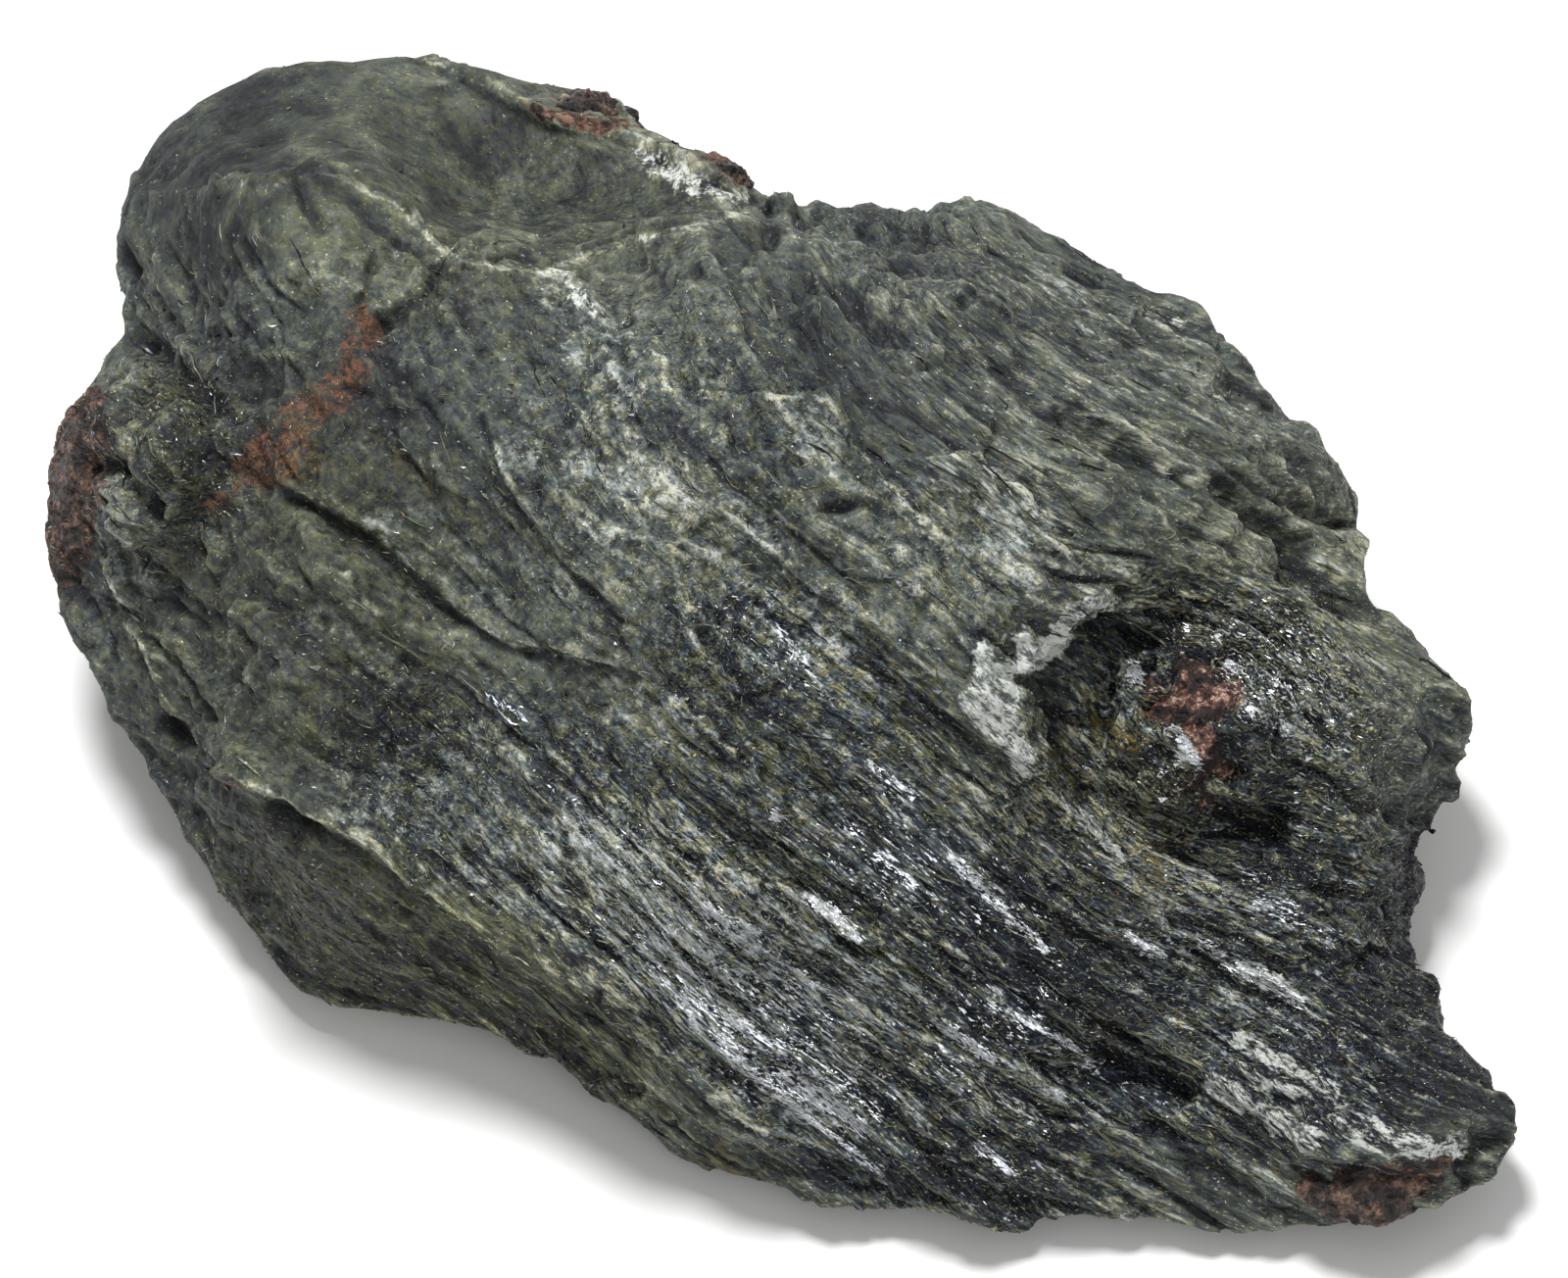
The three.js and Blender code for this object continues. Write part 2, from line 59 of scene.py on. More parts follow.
# Layout, as in the solids: a sloping plane that faces front and up, u along +X and v up the
# slope, seen from a station in front of it. Places below are [u, v] on that plane, in mm.

SLOPE_ELEVATION = math.radians(50)
STATION_DISTANCE = 420.0
LAYOUT_MIDDLE = np.array([0.65, -5.1, 16.0])
VIEW_WIDTH = 80.0
SENSOR = 36.0

SLOPE_U = np.array([1.0, 0.0, 0.0])
SLOPE_UP = np.array([0.0, math.sin(SLOPE_ELEVATION), math.cos(SLOPE_ELEVATION)])
SLOPE_NORMAL = np.array([0.0, -math.cos(SLOPE_ELEVATION), math.sin(SLOPE_ELEVATION)])
STATION = LAYOUT_MIDDLE + STATION_DISTANCE * SLOPE_NORMAL


def layout(points):
    """The [u, v] of points in mm, along sight lines from the station, and their depth."""
    rays = points - STATION
    reach = rays @ SLOPE_NORMAL
    on_plane = STATION + rays * (-STATION_DISTANCE / reach)[:, None]
    away = on_plane - LAYOUT_MIDDLE
    return np.stack([away @ SLOPE_U, away @ SLOPE_UP], axis=1), reach + STATION_DISTANCE


# Noise

class Noise:
    """Smooth gradient noise in three dimensions, about -1 to 1, the same on every run."""

    def __init__(self, seed):
        rng = np.random.default_rng(seed)
        self.order = np.tile(rng.permutation(256), 3)
        slopes = rng.normal(size=(256, 3))
        self.slopes = slopes / np.linalg.norm(slopes, axis=1)[:, None]

    def __call__(self, points):
        cell = np.floor(points).astype(int)
        inside = points - cell
        cell &= 255
        fade = inside ** 3 * (inside * (inside * 6 - 15) + 10)
        total = np.zeros(len(points))
        for corner in itertools.product((0, 1), repeat=3):
            key = self.order[cell[:, 0] + corner[0]]
            key = self.order[key + cell[:, 1] + corner[1]]
            key = self.order[key + cell[:, 2] + corner[2]]
            share = np.prod(np.where(corner, fade, 1 - fade), axis=1)
            total += share * np.einsum("ij,ij->i", self.slopes[key], inside - corner)
        return total * 1.6

    def layers(self, points, count, gain=0.5):
        """A sum of finer and weaker layers."""
        total, height, scale = np.zeros(len(points)), 1.0, 1.0
        for layer in range(count):
            total += height * self(points * scale + 17.3 * layer)
            height, scale = height * gain, scale * 2.03
        return total


def smoothstep(x, low, high):
    share = np.clip((x - low) / (high - low), 0, 1)
    return share * share * (3 - 2 * share)


# Foliation: each point's place along and across the layers of the schist, in mm. The layers
# fall to the right and bend round the garnets.

FALL = math.radians(38)
EDGE_SLOPE, MIDDLE_SLOPE = 0.42, 0.48
STEEP_MIDDLE, STEEP_WIDTH = -4.0, 24.0
TOP_START, TOP_MIDDLE, TOP_TURN, TOP_WIDTH = 8.0, 4.0, 0.05, 7.0
LAYER_TILT = 0.18
EYES = [  # middle [u, v] and radius of what the layers bend round
    ([20.8, -4.6], 6.5), ([-32.5, 9.5], 6.5), ([-24.5, 21], 5),
]
WAVE = Noise(3)


def plain_across(u, v):
    """Distance across the layers, which fall steeply near the middle and gently at the ends."""
    fall = EDGE_SLOPE * u
    fall = fall + MIDDLE_SLOPE * STEEP_WIDTH * np.tanh((u - STEEP_MIDDLE) / STEEP_WIDTH)
    bend = TOP_TURN * TOP_WIDTH * np.tanh((u - TOP_MIDDLE) / TOP_WIDTH)
    top = np.maximum(v - TOP_START, 0) * bend
    return math.cos(FALL) * (v + fall + top)


def foliation(points):
    """Places along, across and through the layers, as three columns."""
    uv, depth = layout(points)
    u, v = uv.T
    along = u * math.cos(FALL) - v * math.sin(FALL)
    across = plain_across(u, v)
    for (eye_u, eye_v), radius in EYES:
        near = np.exp(-((u - eye_u) ** 2 + (v - eye_v) ** 2) / radius ** 2)
        across = across + 0.6 * near * (plain_across(eye_u, eye_v) - across)
    broad = WAVE(np.stack([u, v, depth], axis=1) / 12.0)
    fine = WAVE(np.stack([u + 50, v, depth], axis=1) / 4.5)
    across = across + LAYER_TILT * depth + 0.8 * broad + 0.14 * fine
    return np.stack([along, across, depth], axis=1)


# Places on the face: lines and patches that relief and colour share

BASIN_BACK_RIM = [[-18.8, 29.9], [-15.4, 27.9], [-12, 26.3], [-8.4, 25.6], [-4.2, 23.4], [-1, 22]]
BASIN_FRONT_RIM = [[-16, 19.3], [-12, 18.9], [-10, 19.6], [-8, 20.4], [-3, 21.6], [-1, 22.2]]
KNOB_CREST = [
    [-28.4, 23.1], [-26, 23.2], [-24, 24.1], [-22.8, 23.7], [-19.6, 22.1], [-17.2, 19.9],
    [-16, 19.3],
]
LOWER_CREST = [
    [-28.4, -7.1], [-25.6, -8.3], [-23.6, -9.5], [-21, -10.7], [-19.4, -12.3], [-16, -14.5],
    [-10, -18], [-6, -20.5], [-3, -23.5], [-1, -25.4],
]
LOWER_RIGHT_RIM = [[25.5, -26.4], [30, -26], [35, -24.9]]
POCKET_RIM = [[18.5, 1.6], [14.6, 1], [12.2, -1.6], [12.6, -6.4], [15.4, -9.6], [17.6, -11.6]]
RUST_SMEAR = [[-21.6, 15.8], [-22.2, 13.8], [-23.6, 12], [-25.2, 10.4], [-26.8, 8.6]]
CENTRE_LEDGE = [[-0.6, 12.6], [2.2, 12.5], [3.6, 10], [5, 8.6], [8, 5.4]]
RIGHT_LEDGE = [[8.6, 9.4], [9.8, 9.4], [12.6, 7.4], [13.8, 6]]
MIDDLE_LEDGE = [[-5.4, 2.3], [-5, 0.5], [-4.2, -1.3], [-1, -4.7], [2.4, -6.7]]

# Outlines of pale crusts [outline, strength]
CRUSTS = [
    ([[10, 0.5], [10.8, -1.1], [11.8, -1.7], [12.3, -2.9], [11.9, -3.9], [12, -4.7],
      [12.7, -5.1], [12.9, -5.9], [12.6, -6.9], [12, -7.6], [11.7, -6.5], [11.2, -5.5],
      [10.2, -4.7], [8.8, -3.7], [9, -2.7], [9.6, -2.3], [9.5, -1.1]], 1),
    ([[11.6, 0.2], [12.3, 0.6], [12.6, -0.1], [13.5, 0.3], [14.1, 1.4], [14.9, 2], [16.1, 2.1],
      [16.9, 1.7], [15.1, 1.2], [14.6, 0.4], [14.5, -0.6], [13.5, -1.3], [12.6, -2],
      [12, -1.6], [11.7, -0.7]], 1),
    ([[13.9, -8.1], [15.1, -8.4], [16.1, -9.2], [16.7, -10], [17.5, -11.5], [17.1, -11.7],
      [16.3, -11.1], [15.9, -10.4], [14.9, -9.4]], 0.9),
    ([[21.3, -15.4], [22.7, -16.1], [24.5, -16.7], [25.5, -17.1], [26.1, -17.9], [27.3, -19.4],
      [25.1, -18], [23.5, -17.4], [22.3, -16.6]], 0.75),
    ([[22, -21], [23.8, -21.8], [26, -22.7], [27.2, -23.5], [25.2, -23.3], [23.4, -22.4]], 0.7),
    ([[0, -12.9], [1.4, -13.1], [2.4, -13.6], [3, -14.3], [3.9, -15.4], [2.8, -15],
      [2, -14.3], [1.3, -13.8]], 1.2),
    ([[8.4, 0.6], [9.2, 0.2], [9.6, -1], [9.3, -1.9], [9, -0.8]], 0.5),
    ([[4.6, 3.4], [6.2, 3.1], [7.2, 2.4], [7.4, 1.6], [6.4, 2.2]], 0.5),
    ([[-11.4, 18.6], [-10.2, 17.8], [-9.2, 16.4], [-10, 16.4], [-11, 17.4]], 0.6),
    ([[-8.4, 25.4], [-5.6, 24.6], [-3.6, 23.2], [-1.6, 22.4], [-2.4, 22.2], [-5, 22.6],
      [-7.4, 24.2]], 0.5),
    ([[12, -23.2], [13.4, -24.6], [12.6, -24.4], [11.2, -23.4]], 0.6),
    ([[9.9, 12.3], [10.9, 11.7], [10.9, 10.9], [10, 11.3]], 0.5),
    ([[25.4, -24.2], [26.4, -24.6], [27.2, -25], [27, -25.5], [26, -25]], 0.8),
    ([[28.6, -24.4], [30, -24.4], [31.2, -25], [32.4, -25.2], [33.6, -25.6], [34.8, -26.2],
      [34.6, -26.7], [33, -26.8], [31.6, -26.6], [30.8, -25.8], [29.6, -25.2]], 0.65),
    ([[-11, -9.9], [-9.6, -10.1], [-9.3, -10.6], [-10.8, -10.6]], 0.6),
]

# Outlines of bright plates of mica and of a garnet facet, given painted sheen
SHEEN_PLATES = [
    [[20, -4.9], [20.7, -5.2], [21.3, -6.5], [20.2, -6]],
    [[17.4, -1.3], [17.9, -1.1], [18.3, -1.8], [17.7, -2.1]],
    [[-0.6, -8.8], [-0.3, -8.8], [-0.2, -9.2], [-0.5, -9.3]],
]

# Outlines of faces given painted shade where they turn away from the lamps: the lower left side, the
# right end and the pocket's upper wall [outline, strength, softness]
PAINTED_SHADE_SIDES = [
    (LOWER_CREST + [[0, -31], [-26, -24], [-42, -4], [-34, -4.5], [-31, -4.9]], 0.6, 0.7),
    ([[28.5, 2], [32, -2], [30, -8], [28, -14], [27.5, -17], [31, -21], [38, -26], [45, -10],
      [40, 2]], 0.9, 2.5),
    ([[14.4, -1.2], [15, 0.4], [17, 0.4], [18.6, -0.6], [20.4, -1.2], [18.4, -1.4], [16.6, -0.8],
      [15.2, -1.6], [14.2, -4.4], [13.8, -6.6], [13.2, -6], [13.2, -4]], 0.6, 0.6),
]

# Outlines of garnet bared in the schist
BARE_GARNET = [
    [[20.2, -1.9], [21.2, -1.4], [22.5, -1.3], [23.1, -1.9], [23.3, -3], [23.1, -3.5],
     [22.3, -3.8], [21.6, -4.3], [21.8, -5.4], [22.5, -5.9], [23.1, -6.5], [22.7, -6.9],
     [22, -6.7], [21.2, -7.2], [20.3, -7.6], [20.2, -7.3], [21, -6.7], [21.4, -6],
     [21.1, -5.4], [20.6, -4.8], [19.7, -4.3], [18.6, -4.1], [18.7, -3.6], [19.7, -3.5],
     [20.2, -3]],
    [[18.2, -1.9], [19, -1.6], [19.6, -2.1], [19.5, -2.9], [18.7, -3], [18.3, -2.5]],
    [[-36.6, 13.4], [-34.6, 12.6], [-34.2, 10.4], [-34.8, 7.2], [-35.2, 4.8], [-36.2, 2.4],
     [-37.6, 2.6], [-38.6, 6.4], [-38, 10.8]],
    [[-13.4, 27.4], [-11.4, 27], [-8.6, 26.6], [-7.4, 26], [-9.4, 25.8], [-12.2, 26.5]],
    [[-4.6, 25.6], [-3, 25.2], [-1.8, 23.8], [-2.2, 22.8], [-3.4, 24]],
    [[26.2, -28], [28.6, -27.6], [31, -26.6], [34, -26.4], [33.8, -28], [31.6, -28.9],
     [28, -29.3]],
]

# Ledges [line, height, reach]: the face to the right of the line's run stands higher.
LEDGES = [
    (CENTRE_LEDGE, 1.3, 2.2), (RIGHT_LEDGE, 0.9, 1.8),
    ([[6.6, 13.7], [8, 13.7], [9.4, 12.4], [10.9, 11.6], [10.6, 10.6]], 0.6, 1.4),
    (MIDDLE_LEDGE[::-1], 0.6, 1.8), ([[5, 0.5], [3, 1.5], [1, 2.7], [-1, 3.7]], 0.4, 1.5),
    ([[7, 0.7], [7.5, 2], [6.2, 2.9], [4.8, 3.1]], 0.4, 1.2),
    ([[-10, -1.3], [-14, -0.3], [-16.8, 1.5], [-20.8, 5.3], [-25.2, 7.5]], 0.7, 2.2),
    ([[-8, 1.1], [-11, 3.5], [-15, 6.3], [-21, 10.1]], 0.35, 2),
    ([[-30.4, -4.7], [-31.4, -3.5], [-33.6, 0.7], [-34.6, 3.1]], 0.7, 1.6),
    ([[-28.2, -5.1], [-28.2, -2.7], [-27, -0.3], [-29.4, 2.9], [-29.8, 4.3]], 0.5, 1.6),
    ([[-31, 3.1], [-32, 4.1], [-33.4, 5.3], [-33.2, 6.5]], 0.5, 1.2), (LOWER_CREST[::-1], 1.1, 2.6),
    (BASIN_FRONT_RIM, 0.8, 2.2), (BASIN_BACK_RIM[::-1], 0.8, 2.2), (KNOB_CREST, 1, 1.6),
    ([[-3.4, 19.2], [-2.2, 16.6], [-1.4, 14.8]], 0.5, 1.4),
    ([[0.6, 20.6], [1.6, 18.4], [4.4, 15.4]], 0.6, 1.2),
    ([[11, 13], [10, 14.4], [8.4, 16]], 0.45, 1.2),
    ([[22.4, 15.6], [20.6, 16.6], [18.6, 16.8], [17.8, 16]], 0.5, 1.4),
    ([[-2, -12], [4, -14], [9, -18]], 0.45, 2), ([[12, -14], [18, -17], [25, -19]], 0.45, 2),
    ([[14, -24.6], [20, -25.6], [26, -27.4]], 0.5, 1.6),
    ([[-1, -27.2], [4, -28.6], [10, -28.8]], 0.6, 1.2), (POCKET_RIM, 0.8, 1.6),
]

# Grooves [line, depth, half width].
GROOVES = [
    ([[-17.2, 19.3], [-18, 18.3], [-18.8, 17.3], [-20.4, 16.3]], 0.9, 0.45),
    ([[-24.8, 23.1], [-23.6, 21.1]], 0.5, 0.4),
    ([[-33.4, 15.3], [-32.2, 15.1], [-31.2, 14.1], [-29.6, 12.7], [-28.2, 11.5]], 0.7, 0.5),
    ([[-35.4, 8.9], [-33, 8.7], [-31.4, 7.3]], 0.8, 0.5),
    ([[-25.2, 7.3], [-22.8, 6], [-20.8, 4.9], [-19, 3.5], [-16.8, 1.1]], 0.6, 0.5),
    ([[14.6, 11.6], [16.2, 10.8], [17.4, 9.8], [18.8, 8.6]], 1, 0.5),
    ([[22.4, 13.2], [24.2, 12.2], [26, 11.5]], 0.8, 0.45),
    ([[22.4, 8], [23.6, 6.6], [25, 5.6], [26.6, 4.4]], 0.8, 0.5),
    ([[25.8, 7.2], [28.6, 5.8]], 0.6, 0.4), ([[26, 3.4], [27.8, 2.4], [30.2, 1.6]], 0.8, 0.5),
    ([[16.4, -21], [18, -22], [20.2, -23.1]], 1, 0.55),
    ([[20, -14.4], [22, -14.8], [22.8, -15.2]], 0.8, 0.45), ([[-1, 22.2], [-0.6, 20.6]], 0.7, 0.4),
    ([[2.2, 6.6], [4.2, 6.9], [5.4, 6.2]], 0.6, 0.35), ([[-6.4, -1.1], [-5.4, -2.7]], 0.4, 0.5),
    ([[21.4, -8.4], [24.8, -9.2]], 0.6, 0.8), ([[-25.9, -8.9], [-24.6, -9.5]], 1.1, 0.7),
    ([[-31.4, -4.2], [-30.6, -5]], 1, 0.5), ([[26.5, -6.5], [30, -8.5]], 0.7, 0.5),
    ([[25.5, -11], [28.5, -13]], 0.6, 0.5),
    ([[13.4, -1.5], [14.6, 0.1], [17, 0.3], [19, -0.4], [21, -1.2]], 0.9, 0.6),
    ([[13.4, -2], [13.8, -5.5], [15.6, -8]], 0.5, 0.7),
]


def line_offset(uv, line):
    """Distance to a line of points, and the side: 1 to the right of its run, else -1."""
    best = np.full(len(uv), np.inf)
    side = np.ones(len(uv))
    for start, end in zip(line, line[1:]):
        start, run = np.array(start, float), np.subtract(end, start).astype(float)
        away = uv - start
        share = np.clip(away @ run / (run @ run), 0, 1)
        distance = np.linalg.norm(away - share[:, None] * run, axis=1)
        cross = away[:, 0] * run[1] - away[:, 1] * run[0]
        nearer = distance < best
        best = np.where(nearer, distance, best)
        side = np.where(nearer, np.where(cross >= 0, 1, -1), side)
    return best, side


def patch(uv, at, half, turn=0.0, ragged=None):
    """1 inside an oval patch, falling to 0 around it, with a ragged edge."""
    turn = math.radians(turn)
    away = uv - np.array(at, float)
    long_way = (away[:, 0] * math.cos(turn) + away[:, 1] * math.sin(turn)) / half[0]
    short_way = (away[:, 1] * math.cos(turn) - away[:, 0] * math.sin(turn)) / half[1]
    reach = np.hypot(long_way, short_way)
    if ragged is not None:
        reach = reach + ragged
    return 1 - smoothstep(reach, 0.55, 1.25)


def strip(uv, line, half_width, ragged=None):
    """1 along a line, falling to 0 at its half width."""
    reach = line_offset(uv, line)[0] / half_width
    if ragged is not None:
        reach = reach + ragged
    return 1 - smoothstep(reach, 0.4, 1.3)


def inside(uv, outline):
    """How far inside a closed outline each place is, in mm, and below 0 outside it."""
    closed = outline + outline[:1]
    distance = line_offset(uv, closed)[0]
    crossings = np.zeros(len(uv), dtype=int)
    for (start_u, start_v), (end_u, end_v) in zip(closed, closed[1:]):
        spans = (start_v > uv[:, 1]) != (end_v > uv[:, 1])
        share = (uv[:, 1] - start_v) / (end_v - start_v + 1e-9)
        crossings += spans & (uv[:, 0] < start_u + share * (end_u - start_u))
    return np.where(crossings % 2 == 1, distance, -distance)


def patches(uv, wanted, ragged):
    """The strongest of several patches [u, v, half length, half width, turn, strength]."""
    total = np.zeros(len(uv))
    for u, v, half_long, half_wide, turn, strength in wanted:
        spot = patch(uv, [u, v], [half_long, half_wide], turn, ragged)
        total = np.maximum(total, strength * spot)
    return total


def strips(uv, wanted, ragged):
    """The strongest of several strips [line, half width, strength]."""
    total = np.zeros(len(uv))
    for line, half_width, strength in wanted:
        total = np.maximum(total, strength * strip(uv, line, half_width, ragged))
    return total


# Mesh helpers, in mm

def pull(items, attribute, width, kind=float):
    """One attribute of all the items as an array, a row of some width for each."""
    values = np.empty(len(items) * width, dtype=kind)
    items.foreach_get(attribute, values)
    return values.reshape(-1, width)


def read_points(mesh):
    return pull(mesh.vertices, "co", 3)


def read_normals(mesh):
    return pull(mesh.vertices, "normal", 3)


def read_edges(mesh):
    return pull(mesh.edges, "vertices", 2, np.int32)


def read_triangles(mesh):
    mesh.calc_loop_triangles()
    return pull(mesh.loop_triangles, "vertices", 3, np.int32)


def write_points(mesh, points):
    mesh.vertices.foreach_set("co", np.ascontiguousarray(points, dtype=np.float32).ravel())
    mesh.update()


def make_mesh(name, points, faces):
    mesh = bpy.data.meshes.new(name)
    mesh.from_pydata(points.tolist(), [], faces)
    mesh.update()
    return mesh


def node_mesh(name):
    """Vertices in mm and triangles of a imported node."""
    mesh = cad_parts[name].data
    return read_points(mesh) / MM, read_triangles(mesh)


def joined(parts):
    """Several (points, faces) as one."""
    offsets = np.cumsum([0] + [len(points) for points, _ in parts[:-1]])
    points = np.concatenate([points for points, _ in parts])
    return points, np.concatenate([faces + offset for (_, faces), offset in zip(parts, offsets)])


def relax(values, edges, rounds):
    """Moves each value halfway to the mean of its neighbours, a number of times."""
    count = np.bincount(edges.ravel(), minlength=len(values)).astype(float)
    for _ in range(rounds):
        mean = np.stack([
            np.bincount(edges[:, 0], weights=column[edges[:, 1]], minlength=len(values))
            + np.bincount(edges[:, 1], weights=column[edges[:, 0]], minlength=len(values))
            for column in values.T
        ], axis=1) / count[:, None]
        values = values + 0.5 * (mean - values)
    return values


def modified(mesh, kind, **settings):
    """A copy of a mesh with one modifier applied."""
    source = bpy.data.objects.new("work", mesh)
    bpy.context.scene.collection.objects.link(source)
    modifier = source.modifiers.new("work", kind)
    for key, value in settings.items():
        setattr(modifier, key, value)
    seen = source.evaluated_get(bpy.context.evaluated_depsgraph_get())
    made = bpy.data.meshes.new_from_object(seen)
    bpy.data.objects.remove(source)
    return made


def voxel_mesh(parts, voxel):
    """One closed skin of quads around closed meshes [(points, faces), ...]."""
    points, faces = joined(parts)
    mesh = make_mesh("skin", points, faces.tolist())
    return modified(mesh, "REMESH", mode="VOXEL", voxel_size=voxel)


def refine(mesh, chosen):
    """Cuts the chosen faces in four, and fits their neighbours to them."""
    work = bmesh.new()
    work.from_mesh(mesh)
    work.faces.ensure_lookup_table()
    edges = {edge for face in work.faces if chosen[face.index] for edge in face.edges}
    bmesh.ops.subdivide_edges(work, edges=list(edges), cuts=1, use_grid_fill=True)
    work.to_mesh(mesh)
    work.free()
    mesh.update()


def triangle_count(mesh):
    return sum(len(polygon.vertices) - 2 for polygon in mesh.polygons)


# The stone's shape

VOXEL = 0.36
REFINED_FACING = 0.25
SMOOTH_ROUNDS = 45
POCKET_ROUNDS = 50
REFINED_ROUNDS = 3
FOOT_FLAT, FOOT_LIFT = (0.15, 1.2), (0.1, 2.0)  # heights in mm over which the foot lets go
FOOT_CLEAR = 0.8
STONE_TRIANGLES = 190000
GARNET_NODES = [
    "garnet_pocket", "garnet_left_knob", "garnet_top_crest", "garnet_top_bump",
    "garnet_lower_right",
]
ALONG = SLOPE_U * math.cos(FALL) - SLOPE_UP * math.sin(FALL)
STREAK = Noise(11)
SHINGLE = Noise(12)
CRUMB = Noise(13)
LAYER_END = Noise(14)
# Relief in mm. Pairs are a height everywhere and what lined zones add to it.
RIDGES = [  # size along, across and through the layers, start of the noise, heights
    ([26, 5.5, 10], 0, 0.55, 0), ([14, 2.1, 4.5], 30, 0.20, 0.25), ([6, 0.9, 1.8], 60, 0.06, 0.14),
]
BROAD_TREADS = (3.3, [20, 6, 8])  # spacing, reach of their bends
NARROW_TREADS = (1.3, [10, 3, 5])
BROAD_RISE, BROAD_DROP = 0.60, 0.12  # height, share of a tread that drops
NARROW_RISE, NARROW_DROP = (0.16, 0.12), 0.2
CREVICE_DEPTH, CRUMB_HEIGHT = (0.15, 0.40), (0.18, -0.08)
PIT_DEPTH, RELIEF_MIDDLE = 0.26, 0.75
LAYER_END_HEIGHT, EDGE_HEIGHT = 0.48, 0.5
LINE_GAIN = 1.2
LINE_STRAY = 0.7
CRESTS = (BASIN_BACK_RIM, BASIN_FRONT_RIM, KNOB_CREST, LOWER_CREST, LOWER_RIGHT_RIM)
CREST_HEIGHT, CREST_REACH = 0.50, 0.55
CRUST_HEIGHT, MOUND_HEIGHT, LUMP_HEIGHT = 0.45, 1.45, 0.65
SOCKET_GROWTH, SOCKET_SINK = 1.12, 0.55  # times, mm
GARNET_MOUND = [21.0, -4.4]
MOUND_HALF = [6.3, 4.8]
POCKET_HALF = [6.0, 5.5]
KNOB_MOUND = [-32.2, 9.0]
KNOB_HALF = [2.6, 4.0]
# Ovals: middle, half sizes, turn in degrees
SOFT_BLOCK = ([-25, 26], [14, 7], 10)  # the weathered block at the top left
SMOOTH_BASIN = ([-10, 23], [9.5, 3.8], -8)
SMOOTH_LEFT = ([-23, 26], [11, 5], 0)
SMOOTH_SIDE = ([-19, -17.5], [14, 5], -32)
LINED_SLAB = ([17, 11], [19, 8.5], -32)


def filled_sockets():
    """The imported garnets, grown to close their sockets and sunk under the schist's face."""
    for name in GARNET_NODES:
        points, faces = node_mesh(name)
        middle = points.mean(axis=0)
        yield middle + SOCKET_GROWTH * (points - middle) - SOCKET_SINK * SLOPE_NORMAL, faces


def smooth_zones(uv):
    """1 where the schist has a smooth skin, 0 where it is rough."""
    basin, left, side = (patch(uv, *oval) for oval in (SMOOTH_BASIN, SMOOTH_LEFT, SMOOTH_SIDE))
    return np.clip(basin + left + 0.4 * side, 0, 1)


def ridges(noise, points):
    """Long crests: 1 along them, falling evenly to about 0 between them."""
    return 1 - np.minimum(2.4 * np.abs(noise(points)), 1)


def treads(points, layers, spacing, swing):
    """The stair tread of each place, counted across the layers, and how far along it."""
    ragged = 0.16 * CRUMB.layers(points / 1.2 + 60, 2)
    return layers[:, 1] / spacing + 1.2 * SHINGLE(layers / swing) + ragged


def terraces(tread, drop):
    """Stair treads that rise across the layers and drop at their ends, 0 to 1."""
    share = tread - np.floor(tread)
    return share * (1 - smoothstep(share, 1 - drop, 1.0))


def layer_ends(layers):
    """Layers broken off at different lengths, about -1 to 1, with sharp changes between."""
    index = layers[:, 1] / 0.85 + 1.5 * LAYER_END(layers / [6, 5, 4])
    low = np.floor(index)
    blend = smoothstep(index - low, 0.75, 1.0)
    across = [
        LAYER_END(np.stack([layers[:, 0] / 5, 3.7 * (low + k), layers[:, 2] / 3], axis=1))
        for k in (0, 1)
    ]
    return 1.5 * (across[0] + blend * (across[1] - across[0]))


def lined_zones(uv):
    """1 where the schist is split into long splinters, less where it is mottled."""
    slab = patch(uv, *LINED_SLAB)
    lower = smoothstep(-uv[:, 1] + 0.45 * uv[:, 0], -2, 14)
    return np.clip(0.25 + 0.8 * slab + 0.85 * lower, 0, 1)


def crevices(layers):
    """1 in narrow cracks that run along the layers."""
    crack = 1 - smoothstep(np.abs(SHINGLE(layers / [15, 1.9, 5] + 70)), 0.03, 0.13)
    return crack * smoothstep(SHINGLE(layers / [8, 3, 6] + 80), -0.15, 0.15)


def garnet_mask(uv, points):
    """1 where garnet shows, with ragged edges."""
    ragged = 0.35 * CRUMB.layers(points / 0.9 + 31, 3)
    bare = np.full(len(uv), -1.0)
    for outline in BARE_GARNET:
        bare = np.maximum(bare, inside(uv, outline))
    return smoothstep(bare + ragged, -0.15, 0.15)


def crust_mask(uv, layers):
    """1 on the pale crusts, with ragged edges."""
    ragged = 0.28 * CRUMB.layers(layers / [1.5, 0.9, 1.4] + 3, 3)
    crust = 0.7 * strips(uv, CRUST_STRIPS, 1.6 * ragged)
    for outline, strength in CRUSTS:
        crust = np.maximum(crust, strength * smoothstep(inside(uv, outline) + ragged, -0.10, 0.16))
    return crust


def ledge_offset(uv, line, ragged):
    """Distance to a ledge, and how far each place lies on its high side."""
    distance, side = line_offset(uv, line)
    return distance, side * distance + LINE_STRAY * ragged


